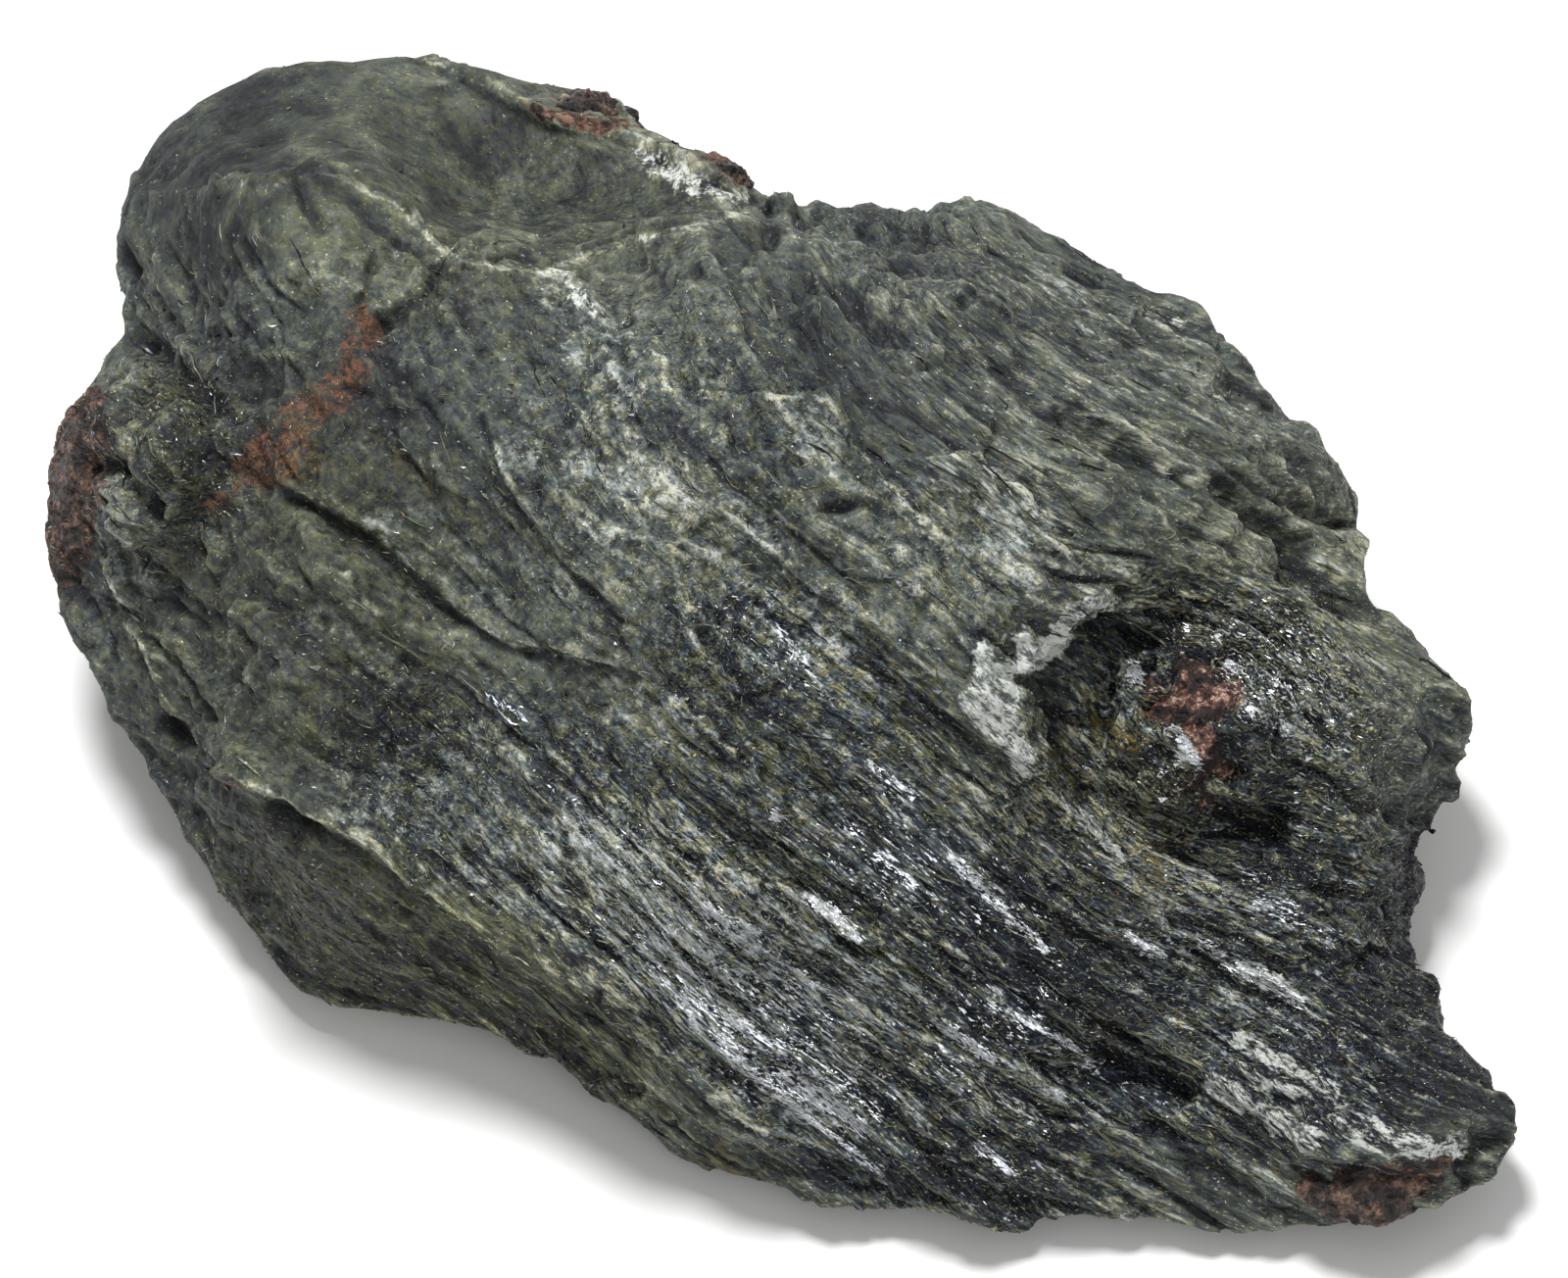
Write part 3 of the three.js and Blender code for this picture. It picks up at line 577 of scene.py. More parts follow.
def stone_relief(points, normals):
    """How far each point of the stone's skin stands out, in mm."""
    uv = layout(points)[0]
    layers = foliation(points)
    rough = 1 - 0.8 * smooth_zones(uv)
    rough = rough * (1 - 0.5 * patch(uv, *SOFT_BLOCK))
    lined = lined_zones(uv)

    def by_zone(heights):
        return heights[0] + heights[1] * lined

    relief = np.zeros(len(uv))
    for size, start, *heights in RIDGES:
        relief += by_zone(heights) * ridges(STREAK, layers / size + start)
    broken = smoothstep(SHINGLE(layers / [9, 3.5, 6] + 40), -0.2, 0.3)
    relief += BROAD_RISE * broken * terraces(treads(points, layers, *BROAD_TREADS), BROAD_DROP)
    narrow = terraces(treads(points, layers, *NARROW_TREADS), NARROW_DROP)
    relief += by_zone(NARROW_RISE) * narrow
    relief -= by_zone(CREVICE_DEPTH) * crevices(layers)
    relief += by_zone(CRUMB_HEIGHT) * CRUMB.layers(points / 1.3, 3, 0.5)
    pits = smoothstep(CRUMB(points / [1.1, 1.1, 0.9] + 20), 0.28, 0.55)
    relief -= PIT_DEPTH * (1 - 0.7 * lined) * pits
    relief = rough * (relief - RELIEF_MIDDLE)

    ends = smoothstep(np.abs(normals @ ALONG), 0.5, 0.9) * smoothstep(points[:, 2], 0.5, 3)
    relief += LAYER_END_HEIGHT * ends * rough * layer_ends(layers)
    edge = 1 - smoothstep(np.abs(normals @ SLOPE_NORMAL), 0.15, 0.6)
    relief += EDGE_HEIGHT * edge * CRUMB.layers(points / 2.4 + 70, 2)

    ragged = wander(points)
    for line, height, reach in LEDGES:
        distance, offset = ledge_offset(uv, line, ragged)
        step = smoothstep(offset, -0.14, 0.14) - 0.5
        relief += LINE_GAIN * height * step * np.exp(-distance / reach)
    for line, deep, half_width in GROOVES:
        distance = line_offset(uv, line)[0]
        relief -= LINE_GAIN * deep * np.exp(-((distance + 0.3 * ragged) / half_width) ** 2)
    for line in CRESTS:
        distance = line_offset(uv, line)[0]
        relief += CREST_HEIGHT * np.exp(-np.abs(distance + 0.6 * ragged) / CREST_REACH)
    crust = crust_mask(uv, layers)
    relief += crust * (CRUST_HEIGHT + 0.18 * CRUMB.layers(points / 0.8 + 44, 2))

    bare = garnet_mask(uv, points)
    mound = patch(uv, GARNET_MOUND, MOUND_HALF, 20, 0.5 * ragged)
    mound = np.maximum(mound, patch(uv, KNOB_MOUND, KNOB_HALF, 0, 0.5 * ragged))
    lumps = ridges(CRUMB, points / 1.6 + 50)
    relief += mound * (1 - bare) * (MOUND_HEIGHT + LUMP_HEIGHT * lumps)
    relief += bare * (0.25 * CRUMB.layers(points / 0.7 + 9, 2) + 0.3 * mound)
    return relief


def wander(points):
    """How far the edges of ledges and patches stray, in mm."""
    return 0.35 * CRUMB(points / 1.7 + 5) + 0.15 * CRUMB(points / 0.7 + 6)


def front_faces(mesh, points, facing):
    """The faces that look to the front and up, clear of the foot."""
    first = pull(mesh.polygons, "loop_start", 1, np.int32)[:, 0]
    corner = pull(mesh.loops, "vertex_index", 1, np.int32)[first, 0]
    return (facing[corner] > REFINED_FACING) & (points[corner, 2] > FOOT_CLEAR)


def thinned(mesh, triangles):
    """The mesh cut down to a number of triangles, which stay where it bends most."""
    ratio = triangles / triangle_count(mesh)
    return modified(mesh, "DECIMATE", ratio=ratio, use_collapse_triangulate=True)


def build_stone():
    mesh = voxel_mesh([node_mesh("fuchsite_schist"), *filled_sockets()], VOXEL)
    edges = read_edges(mesh)
    raw = read_points(mesh)
    points = relax(raw, edges, SMOOTH_ROUNDS)
    foot = smoothstep(raw[:, 2], *FOOT_FLAT)[:, None]
    points = raw + foot * (points - raw)
    pocket = patch(layout(points)[0], GARNET_MOUND, POCKET_HALF)[:, None]
    points = points + pocket * (relax(points, edges, POCKET_ROUNDS) - points)
    write_points(mesh, points)
    refine(mesh, front_faces(mesh, points, read_normals(mesh) @ SLOPE_NORMAL))

    points = relax(read_points(mesh), read_edges(mesh), REFINED_ROUNDS)
    write_points(mesh, points)
    normals = read_normals(mesh)
    lift = smoothstep(points[:, 2], *FOOT_LIFT)
    lift = lift * (0.4 + 0.6 * smoothstep(np.abs(normals @ SLOPE_NORMAL), 0.0, 0.35))
    points = points + normals * (lift * stone_relief(points, normals))[:, None]
    points = relax(points, read_edges(mesh), 1)
    points[:, 2] = np.maximum(points[:, 2], 0)
    write_points(mesh, points)
    return thinned(mesh, STONE_TRIANGLES)


# The stone's marks, one number a vertex each: what the material and the flakes go by

# Patches are ovals [u, v, half length, half width, turn, strength], and strips run along lines
# [line, half width, strength].
CRUST_STRIPS = [
    ([[29, -26], [34.6, -25.6]], 0.5, 0.6), ([[18.6, 16.4], [20.6, 16.2]], 0.5, 0.5),
    ([[23.2, -20.4], [28, -23.1]], 0.6, 0.9), ([[22, -22.8], [26.8, -25.5]], 0.8, 0.9),
    ([[28.6, -24.3], [31.6, -26.4]], 1, 0.6), ([[10.6, -23.4], [12.1, -24.3]], 0.6, 0.5),
]
PALE_PATCHES = [
    (-11.2, 17.4, 1.6, 1.4, -30, 0.9), (-8.8, 15, 2.4, 3.8, 20, 0.6), (-9.2, 14, 1.8, 2, 20, 0.9),
    (-6.3, 14.4, 1, 1, 0, 0.6), (-8.8, 11.4, 2.2, 1.6, -20, 0.7), (-6.8, 7.9, 5, 1.6, -12, 0.9),
    (-3.8, 6.2, 2.8, 1.6, -30, 0.8), (-1.6, 5, 2.4, 1.2, -30, 0.7), (-13.4, 9.2, 1.2, 1.2, 0, 0.7),
    (-9.2, 5.6, 1.1, 0.9, 0, 0.7), (-7.4, 3.4, 1.4, 0.9, -30, 0.5), (0, 1, 3, 1.7, -35, 0.6),
    (3, 1.6, 1.8, 1.2, -35, 0.5), (1.6, 10.4, 2.4, 1.6, -50, 0.9), (8.8, 8.2, 1.8, 1.2, -40, 0.9),
    (9, 8.6, 2, 1.4, -35, 0.8), (11, 5.5, 3.6, 3, -35, 0.8), (14.5, 4, 4, 1.8, -15, 0.4),
    (-18, 4.5, 4, 1.6, -35, 0.6), (25.5, -27.5, 2.2, 1.2, -20, 0.6), (15, 16.4, 2.4, 0.8, -45, 0.6),
    (9, 6, 5, 1.8, -35, 0.5), (11, 8.6, 2.2, 1.2, -35, 0.7), (-16.5, -9.5, 7.5, 3.4, -35, 0.9),
    (-8, -11.5, 5, 3, -40, 0.9), (-6, -16, 6, 2.6, -42, 0.5), (-27.5, -1.5, 3, 2, -60, 0.4),
    (-33.5, 4, 1.6, 3, 20, 0.6), (-25.5, 19.5, 3.4, 3.2, 0, 0.3), (-22.5, 1, 3, 2.4, -40, 0.6),
    (-20, -2, 2.4, 1.2, -30, 0.7), (-20.5, 18.5, 1.6, 2.2, 20, 0.5), (-33, 21.5, 2.2, 5, -10, 0.5),
    (4.5, -6.5, 5, 2.5, -40, 0.4), (22, -17.5, 6, 2.8, -35, 0.6), (29, -24, 5, 2, -15, 0.7),
    (16, 14.5, 6, 3, -35, 0.3), (24, 9.8, 4, 1.4, -35, 0.3), (2, 20, 3.5, 1.6, -50, 0.4),
]
# Painted highlights along the crests and the lips of ledges [line, half width, strength]
CREST_HIGHLIGHT_LINES = [
    (BASIN_BACK_RIM, 0.9, 1), (BASIN_FRONT_RIM, 0.45, 1), (KNOB_CREST, 0.6, 1.3),
    (LOWER_CREST, 0.6, 1), (LOWER_RIGHT_RIM, 0.8, 0.9), (CENTRE_LEDGE, 0.35, 1),
    (RIGHT_LEDGE, 0.35, 0.8), (MIDDLE_LEDGE, 0.3, 0.9),
    ([[-1, 3.7], [1, 2.7], [3, 1.5], [5, 0.5]], 0.35, 0.7),
    ([[-25.2, 7.9], [-20.8, 5.7], [-16.8, 1.9], [-14, 0.1]], 0.35, 0.6),
    ([[7.8, 17.6], [9.2, 15.6], [10.8, 13.1]], 0.3, 0.8), ([[5.5, 17.6], [8, 15.1]], 0.3, 0.6),
    ([[13.5, 17.6], [15.2, 16.6], [16.5, 15.1]], 0.4, 0.6),
    ([[7.6, -1.8], [8.8, -2.2], [9.4, -3], [8.8, -3.6]], 0.3, 0.8),
    ([[-18.6, 1], [-15.6, -0.6], [-12.4, -3.2]], 0.3, 0.5),
    ([[-15, -16.6], [-9.4, -20.4], [-6.4, -23.2]], 0.3, 0.5),
    ([[-20, -14.6], [-14, -18.6], [-9, -22.6]], 0.25, 0.4),
    ([[-34.6, 3.1], [-33.6, 0.7], [-31.4, -3.5]], 0.3, 0.6),
    ([[-28.4, 21.7], [-27.6, 19.1], [-26, 17.1]], 0.25, 0.6),
    ([[-27.2, 21.1], [-25.2, 17.5]], 0.25, 0.6),
    ([[-23.6, 21.7], [-22, 19.1], [-20.8, 17.1]], 0.25, 0.6),
]
# Darker patches [u, v, half length, half width, turn, strength]: partly the schist's own dark tone,
# partly painted shade in the basin, the pocket, grooves and pits and along the bottom edge
DARK_AND_SHADE_PATCHES = [
    (-15, 24.6, 4, 1.6, -8, 0.5), (-19, 25.8, 6, 2.6, 10, 0.3), (6, 20.6, 3.6, 1.2, -10, 0.6),
    (5.2, 15.4, 1.6, 0.8, -50, 0.6), (0.8, 13.8, 2.4, 0.9, -15, 0.6),
    (-5.6, 10.8, 2.4, 0.8, -45, 0.6), (14.5, -15.6, 7, 4.5, -35, 0.8),
    (-18, -17.5, 13, 3.8, -32, 0.55), (-30, 10.8, 3.8, 3.8, 0, 0.7), (-10, 23, 7, 2.2, -8, 0.2),
    (-22, 26.5, 12, 5, 10, 0.35), (-32, 20, 6, 7, 10, 0.5), (-33, 0, 5, 8, 15, 0.45),
    (-25, 3, 5, 4, -30, 0.2), (-36, 14, 4, 9, 0, 0.6), (27, -20, 9, 5, -25, 0.8),
    (22, 13, 10, 6, -30, 0.3), (-35, 12, 3, 4, 0, 0.4), (23, -9, 3.6, 1.8, -20, 0.9),
    (22.6, -4.6, 1.2, 1, 0, 2.4), (21, -1, 1.6, 0.4, -15, 1.6), (18.9, -0.2, 0.35, 1, 20, 1.6),
    (26, -12, 6, 2.2, -35, 0.5), (22, 5, 7, 3, -38, 0.3), (14, 16, 9, 4, -30, 0.4),
    (31, -8, 4, 5.5, 20, 0.5), (10, -16, 12, 3.5, -32, 0.5), (18, -22, 2.8, 1.2, -32, 0.9),
    (3, -27.3, 12, 1.6, -5, 0.9), (-31.2, -4.5, 0.9, 0.6, -20, 1), (19.5, -5.7, 0.6, 0.9, 35, 1),
    (17.9, -3.3, 0.8, 1.4, 0, 0.8), (-25.2, -9.2, 1.2, 0.8, 0, 1), (-20, 13, 3, 2, -30, 0.3),
    (2, 16, 4, 3, -50, 0.3), (5, 10.5, 3.4, 1.4, -50, 0.5),
]
# Pale mica with painted sheen: bright where the mica would mirror the lamps
SILVER_AND_SHEEN_PATCHES = [
    (-2, -18.5, 8, 3.6, -45, 0.9), (4, -11.5, 5, 2.2, -38, 0.6), (6, -20, 8, 2.6, -35, 0.6),
    (2, -23.5, 4, 2, -40, 1), (-8, -13, 5, 2.2, -40, 0.5), (13, -20, 7, 2.8, -32, 0.6),
    (8, -12, 7, 2.6, -38, 0.6), (25.4, -1.8, 2.2, 3.4, 15, 0.55), (22.6, 0.8, 2.6, 1.3, -15, 0.45),
    (17.8, -1.6, 0.7, 0.5, -30, 1), (19.9, -4.7, 0.7, 0.5, -40, 1), (24.5, -13.5, 4, 1.2, -38, 0.4),
    (-26.5, 17, 2, 2.5, 0, 0.3), (-2, 0, 4, 2.6, -40, 0.4), (0.5, -1.5, 3, 1.6, -45, 0.6),
    (-10, -9, 4, 1.4, -35, 0.5), (-14, -3.5, 3, 1.2, -35, 0.3), (9, -27, 7, 1.6, -22, 0.5),
]
# Streaks of pale mica with painted sheen [line, half width, strength]
SILVER_AND_SHEEN_STREAKS = [
    ([[-5.4, -16.6], [-3.8, -18]], 0.4, 1), ([[-4, -13.8], [-1.4, -14.9]], 0.4, 1),
    ([[-4.4, -18.6], [-2.2, -21.2]], 0.5, 1), ([[0.2, -22.2], [3.8, -24.8]], 0.7, 1),
    ([[-2.6, -21.4], [4.6, -27]], 0.3, 1), ([[1, -13.3], [2.4, -13.9], [3.8, -15.3]], 0.6, 0.72),
    ([[5, -11], [6.6, -12.2]], 0.5, 1), ([[8.6, -11.4], [13.4, -15.8]], 0.4, 0.9),
    ([[8, -19.8], [10.6, -21.4]], 0.4, 1), ([[10.8, -18.8], [14.6, -20.6]], 0.25, 1),
    ([[14.4, -20.6], [16, -21.8]], 0.25, 0.9), ([[10, -25.8], [11.6, -27.2]], 0.35, 1),
    ([[12.6, -26.6], [14.2, -27.4]], 0.3, 0.8), ([[17.6, -15], [19.2, -16.2]], 0.35, 0.9),
    ([[23.2, -11.8], [28, -15.4]], 0.9, 0.35), ([[22.3, -1.2], [23.6, -1.7]], 0.35, 0.8),
    ([[24.6, -2], [26.6, -2.8]], 0.4, 0.6), ([[23.6, -3.6], [25.6, -4.6]], 0.5, 0.7),
    ([[21.4, -15.6], [26.5, -18.6]], 0.7, 0.6), ([[-15, -2.9], [-13.2, -4.1]], 0.35, 0.7),
    ([[-0.6, 0.9], [0.8, -0.8]], 0.3, 0.7), ([[1, -1.2], [2.2, -3]], 0.3, 0.7),
    ([[4.2, -6.3], [6.6, -7.9]], 0.3, 0.9), ([[15.2, -21.6], [15.9, -21.9]], 0.25, 1),
    ([[14, -23.2], [14.6, -23.6]], 0.25, 1), ([[24, -13.4], [26.6, -14.8]], 0.35, 0.4),
    ([[8.6, -11.1], [9.8, -12.3]], 0.35, 1),
]
GLITTER_PATCHES = [
    (25, -1.5, 2.8, 3.4, 15, 1), (22.5, 0.6, 2.8, 1.2, -15, 1), (17.6, -1.5, 0.9, 0.7, 0, 0.8),
    (20, -7, 2.2, 1.6, 0, 0.6), (-31, 11, 3.2, 2.8, 0, 0.12), (28, -5, 4, 5, 0, 0.5),
]
RUST_PATCHES = [
    (-36.3, 6.6, 1.6, 5.8, 0, 0.35), (-10.8, 26.9, 3.4, 0.9, -15, 0.25),
    (-9.6, 26.4, 1.2, 0.5, -15, 0.5), (-3.5, 24.4, 1.6, 1, -40, 0.4), (30, -28.4, 5, 1.3, 4, 0.25),
    (31.5, -27.4, 1.6, 0.6, 10, 0.5), (19.4, -3.6, 1.2, 0.8, 0, 0.7),
    (-28.8, 7.1, 1.2, 0.6, 20, 0.9), (-28.3, -7.4, 0.7, 0.4, 0, 0.8),
]
OCHRE_PATCHES = [
    (17.2, -5, 1.4, 1, -30, 1.3), (14.6, -6.6, 0.9, 1.6, 30, 0.6), (18.7, -11.6, 0.6, 2.2, 10, 1.2),
    (-3.4, -26.6, 1.6, 1, -45, 0.8), (-1, -28, 1.2, 0.8, -30, 0.6), (20, -8, 3, 1.4, 0, 0.4),
    (-24, 9, 2, 1.4, -30, 0.4), (-18, 8, 4, 0.7, -35, 0.3), (16.5, -20, 1, 1.4, 0, 0.4),
]
# Broad changes of tone: partly the stone's own, partly painted light and shade where faces turn to or
# from the lamps
BROAD_TONES_AND_SHADING = [  # as the patches, with a change of tone in place of a strength
    (-31, 26, 8, 8, 0, -0.14), (-25, 5, 7, 6, -20, -0.07), (-25, -5, 7, 6, -20, -0.13),
    (-15, -5, 5, 5, 0, 0.04), (-5, -5, 5, 5, 0, 0.04), (-5, 5, 5, 4, 0, 0.04),
    (-5, 16, 4, 5, 0, 0.04), (-14, 26, 5, 3.5, 0, 0.06), (24, -7, 3.5, 3.5, 0, -0.1),
    (-36, 12, 4, 8, 0, 0.12), (-24, 12, 7, 6, 0, -0.09), (-15, 16, 5, 6, 0, -0.05),
    (-34, 0, 5, 9, 15, -0.02), (-20, -8, 6, 5, -30, -0.05), (-22, -15, 6, 5, -30, -0.04),
    (16, 6, 9, 7, -35, 0.1), (20, 15, 13, 5, -30, 0.05), (25, 14, 7, 5, -30, 0.06),
    (25, 5, 8, 5, -30, 0.08), (31, -4, 6, 5, 0, 0.18), (15.6, -3.6, 2.6, 4, 0, 0.12),
    (14, -7, 6, 4, -30, 0.12), (14.5, -16, 7, 6, -35, -0.09), (-5, -15, 6, 6, -35, 0.12),
    (-2, -25, 8, 4, -30, 0.08), (25, -26, 6, 4, 0, -0.13), (34, -17, 6, 7, 0, -0.16),
    (21.9, -2.4, 1.6, 1.2, 0, 0.12), (-24.2, 11.9, 2.2, 4.4, -30, -0.06),
]
WARM_PATCHES = [
    (-25, 2, 9, 12, 0, 1), (-30.5, 10.5, 4, 4, 0, 1.6), (-18, 23, 16, 7, 0, 0.7),
    (17, -6, 6, 5, 0, 0.8), (26, 2, 8, 8, 0, 0.5), (-18, -17, 14, 5, -32, 2),
    (-21, -4, 5, 4, 0, 1.6),
]
COOL_PATCHES = [
    (-1, -18, 9, 4.5, -42, 2), (8, -13, 8, 3, -38, 1.6), (13, -19.5, 8, 4, -32, 1.6),
    (23, -18, 8, 6, -30, 1), (24.6, -2.5, 3.6, 4, 0, 1.6), (2, -24, 6, 3, -38, 1.6),
]
HARSH_PATCHES = [
    (-18, -18, 14, 5, -32, 0.35), (2, -17, 20, 9, -38, 1), (22, -15, 15, 11, -30, 1),
    (22, -4, 9, 8, 0, 1), (1, -4, 10, 7, -40, 0.8), (-6, 8, 10, 10, 0, 0.35),
    (-31, 9, 5, 6, 0, 0.4), (-16, -8, 9, 6, -35, 0.5), (10, 4, 8, 5, -30, 0.4),
]

SHEEN_NORMAL = np.array([-0.10, -0.24, 0.966])  # the way the bright mica's faces look
SHEEN_PULL = 4.0
MOTTLE = Noise(21)
FRONT_SIDE, GARNET_SIDE = (-0.1, 0.2), (-0.4, 0.0)  # how far a marked face looks to the front
RAG_SIZE, RAG_AMOUNT = [2.4, 1.1, 2.0], 0.55  # ragged edges of the marks
STAND_ROUNDS, STAND_HEIGHT = 12, 0.16  # what counts as standing out from its surroundings
MOUND_SHADE, MOUND_SHADE_HALF = 0.8, [4.4, 4.2]
# Share of a groove's width that gets painted shade
GROOVE_SHADE_SHARE = 0.8  # of a groove's width that is dark
# Sizes of the mottle's spots along, across and through the layers, and their strengths
BROAD_SPOTS, MIDDLE_SPOTS, LONG_SPOTS = [16, 5, 9], [6, 1.5, 3], [3.6, 0.7, 1.4]
BROAD_SPOT, MIDDLE_SPOT, SMALL_SPOT = 0.50, 0.50, 0.40
ROUND_SPOTS, EVEN_SPOTS = 1.5, ((0.45, 4.0, 5), (0.50, 1.9, 7))
POWDER_SIZE, SPLIT_SIZE = [3.2, 2.4, 2.4], [5, 0.35, 1]
PLATE_SILVER, MOST_SILVER = 2.6, 2.5
# Among what lifts the tone, the relief shading, the crest highlights and the sheen are painted light
TONE_MIDDLE, TONE_MOTTLE, TONE_RELIEF_SHADING, TONE_PALE = 0.42, 0.26, 0.10, 0.06  # what lifts the tone
TONE_CREST_HIGHLIGHTS, TONE_SILVER_AND_SHEEN = 0.20, 0.06
# What lowers the tone: dark patches with painted shade, and painted shade in the grooves and crevices
TONE_DARK_AND_SHADE, TONE_GROOVE_SHADE, TONE_CREVICE_SHADE = 0.24, 0.30, 0.35  # what lowers it


def ledge_highlights_and_shadows(uv, points):
    """Painted highlight on the lip of a ledge, on the side that stands high, and painted shadow on
    the side below: closeness to each.
    """
    pale, dark = np.zeros(len(uv)), np.zeros(len(uv))
    ragged = wander(points)
    for line, height, _ in LEDGES:
        distance, offset = ledge_offset(uv, line, ragged)
        strength = min(LINE_GAIN * height, 1.0)
        above = 1 - np.abs(offset) / np.where(offset > 0, 0.6, 0.2)
        below = 1 - np.abs(offset) / np.where(offset < 0, 1.0, 0.15)
        near = distance < 1.5
        pale = np.maximum(pale, near * strength * above)
        dark = np.maximum(dark, near * strength * below)
    return pale, dark


def stone_marks(points, mesh):
    """The marks of the stone's vertices, which its material reads by name."""
    uv, _ = layout(points)
    layers = foliation(points)
    normals = read_normals(mesh)
    facing = normals @ SLOPE_NORMAL
    front = smoothstep(facing, *FRONT_SIDE)
    lined = lined_zones(uv)
    ragged = RAG_AMOUNT * CRUMB.layers(layers / RAG_SIZE + 3, 2)

    # Painted light and shade by relief: what stands out is made paler, what sinks is made darker
    relaxed = relax(points, read_edges(mesh), STAND_ROUNDS)
    relief_shading = np.einsum("ij,ij->i", points - relaxed, normals)
    relief_shading = np.clip(relief_shading / STAND_HEIGHT, -1.5, 1.5)
    pale = patches(uv, PALE_PATCHES, ragged) * front
    # Darkening: the schist's own dark patches together with painted shade
    dark = patches(uv, DARK_AND_SHADE_PATCHES, 0.7 * ragged)
    # Painted shade on the faces that turn away from the light
    for outline, strength, soft in PAINTED_SHADE_SIDES:
        side = smoothstep(inside(uv, outline) + 0.5 * soft * ragged, -0.4 * soft, soft)
        dark = np.maximum(dark, strength * side)
    garnet = garnet_mask(uv, points) * smoothstep(facing, *GARNET_SIDE)
    mound = patch(uv, GARNET_MOUND, MOUND_SHADE_HALF, 0, ragged)
    dark = np.maximum(dark, MOUND_SHADE * mound) * front
    crust = crust_mask(uv, layers) * front
    # Pale mica with painted sheen
    streaks = [(line, 0.75 * half_width, strength) for line, half_width, strength in SILVER_AND_SHEEN_STREAKS]
    streaks = 1.1 * strips(uv, streaks, 0.7 * ragged)
    silver = np.maximum(0.5 * patches(uv, SILVER_AND_SHEEN_PATCHES, 0.9 * ragged), streaks) * front
    # Painted highlights along crests and ledges
    lines = strips(uv, CREST_HIGHLIGHT_LINES, 0.7 * ragged) * front
    rust = patches(uv, RUST_PATCHES, 0.8 * ragged)
    rust = np.maximum(rust, 0.85 * strip(uv, RUST_SMEAR, 1.2, 1.6 * ragged)) * front
    ochre = patches(uv, OCHRE_PATCHES, ragged) * front
    # Painted shade along the grooves
    cracks = [(line, GROOVE_SHADE_SHARE * half_width, deep) for line, deep, half_width in GROOVES]
    cracks = strips(uv, cracks, 0.8 * ragged)

    # Painted highlights on the lips of ledges and painted shadows at their feet
    lip_highlight, foot_shadow = ledge_highlights_and_shadows(uv, points)
    mottle = BROAD_SPOT * MOTTLE(layers / BROAD_SPOTS)
    mottle = mottle + MIDDLE_SPOT * MOTTLE(layers / MIDDLE_SPOTS + 11)
    round_spots = MOTTLE.layers(points / ROUND_SPOTS + 23, 2)
    long_spots = MOTTLE.layers(layers / LONG_SPOTS + 23, 2)
    mottle = mottle + SMALL_SPOT * (round_spots + lined * (long_spots - round_spots))
    even = sum(height * MOTTLE(points / size + start) for height, size, start in EVEN_SPOTS)
    even = even + SMALL_SPOT * round_spots
    calm = np.clip(1.3 * smooth_zones(uv), 0, 1)
    mottle = mottle + calm * (even - mottle)
    harsh = patches(uv, HARSH_PATCHES, None) - 0.6 * patch(uv, *SOFT_BLOCK)
    mottle = mottle * (1 + 0.5 * np.clip(harsh, 0, 1))
    # Painted light and shade in the tone: relief shading pales what stands out and darkens the
    # hollows
    tone = TONE_MIDDLE + TONE_MOTTLE * mottle + TONE_RELIEF_SHADING * relief_shading + TONE_PALE * pale
    tone = tone - TONE_DARK_AND_SHADE * dark + TONE_CREST_HIGHLIGHTS * lines * (0.6 + round_spots)
    tone = tone - TONE_GROOVE_SHADE * cracks * front
    # Painted shade in the crevices along the layers, and painted sheen on the pale mica
    tone = tone - TONE_CREVICE_SHADE * crevices(layers) * (0.4 + 0.6 * lined) + TONE_SILVER_AND_SHEEN * silver
    # Broad painted light and shade, mixed with the stone's own tone
    for u, v, half_long, half_wide, turn, change in BROAD_TONES_AND_SHADING:
        tone = tone + change * patch(uv, [u, v], [half_long, half_wide], turn) * front
    powder = pale * (0.85 + 0.9 * MOTTLE.layers(points / POWDER_SIZE, 3, 0.6))
    splits = MOTTLE.layers(layers / SPLIT_SIZE + 41, 2)
    silver = silver * smoothstep(splits + 0.8 * silver, -0.10, 0.40)
    # Plates of mica and a garnet facet with painted sheen
    for outline in SHEEN_PLATES:
        silver = np.maximum(silver, PLATE_SILVER * smoothstep(inside(uv, outline), -0.12, 0.08))
    return {
        "tone": np.clip(tone, 0, 1), "powder": np.clip(powder, 0, 1), "crust": crust,
        "silver": np.minimum(silver, MOST_SILVER), "rust": rust, "ochre": ochre, "lined": lined,
        "garnet": garnet,
        "warm": patches(uv, WARM_PATCHES, None) - patches(uv, COOL_PATCHES, None), "harsh": harsh,
        "lip_highlight": lip_highlight * front, "foot_shadow": foot_shadow * front,
        "brown": 1 - patch(uv, GARNET_MOUND, [6, 6]),
        "glitter": patches(uv, GLITTER_PATCHES, ragged) * front,
        "broad_treads": treads(points, layers, *BROAD_TREADS),
        "narrow_treads": treads(points, layers, *NARROW_TREADS),
    }


def write_marks(mesh, points, marks):
    for name, values in marks.items():
        layer = mesh.attributes.new(name, "FLOAT", "POINT")
        layer.data.foreach_set("value", values.astype(np.float32))
    layer = mesh.attributes.new("layers", "FLOAT_VECTOR", "POINT")
    layer.data.foreach_set("vector", foliation(points).astype(np.float32).ravel())


# Materials

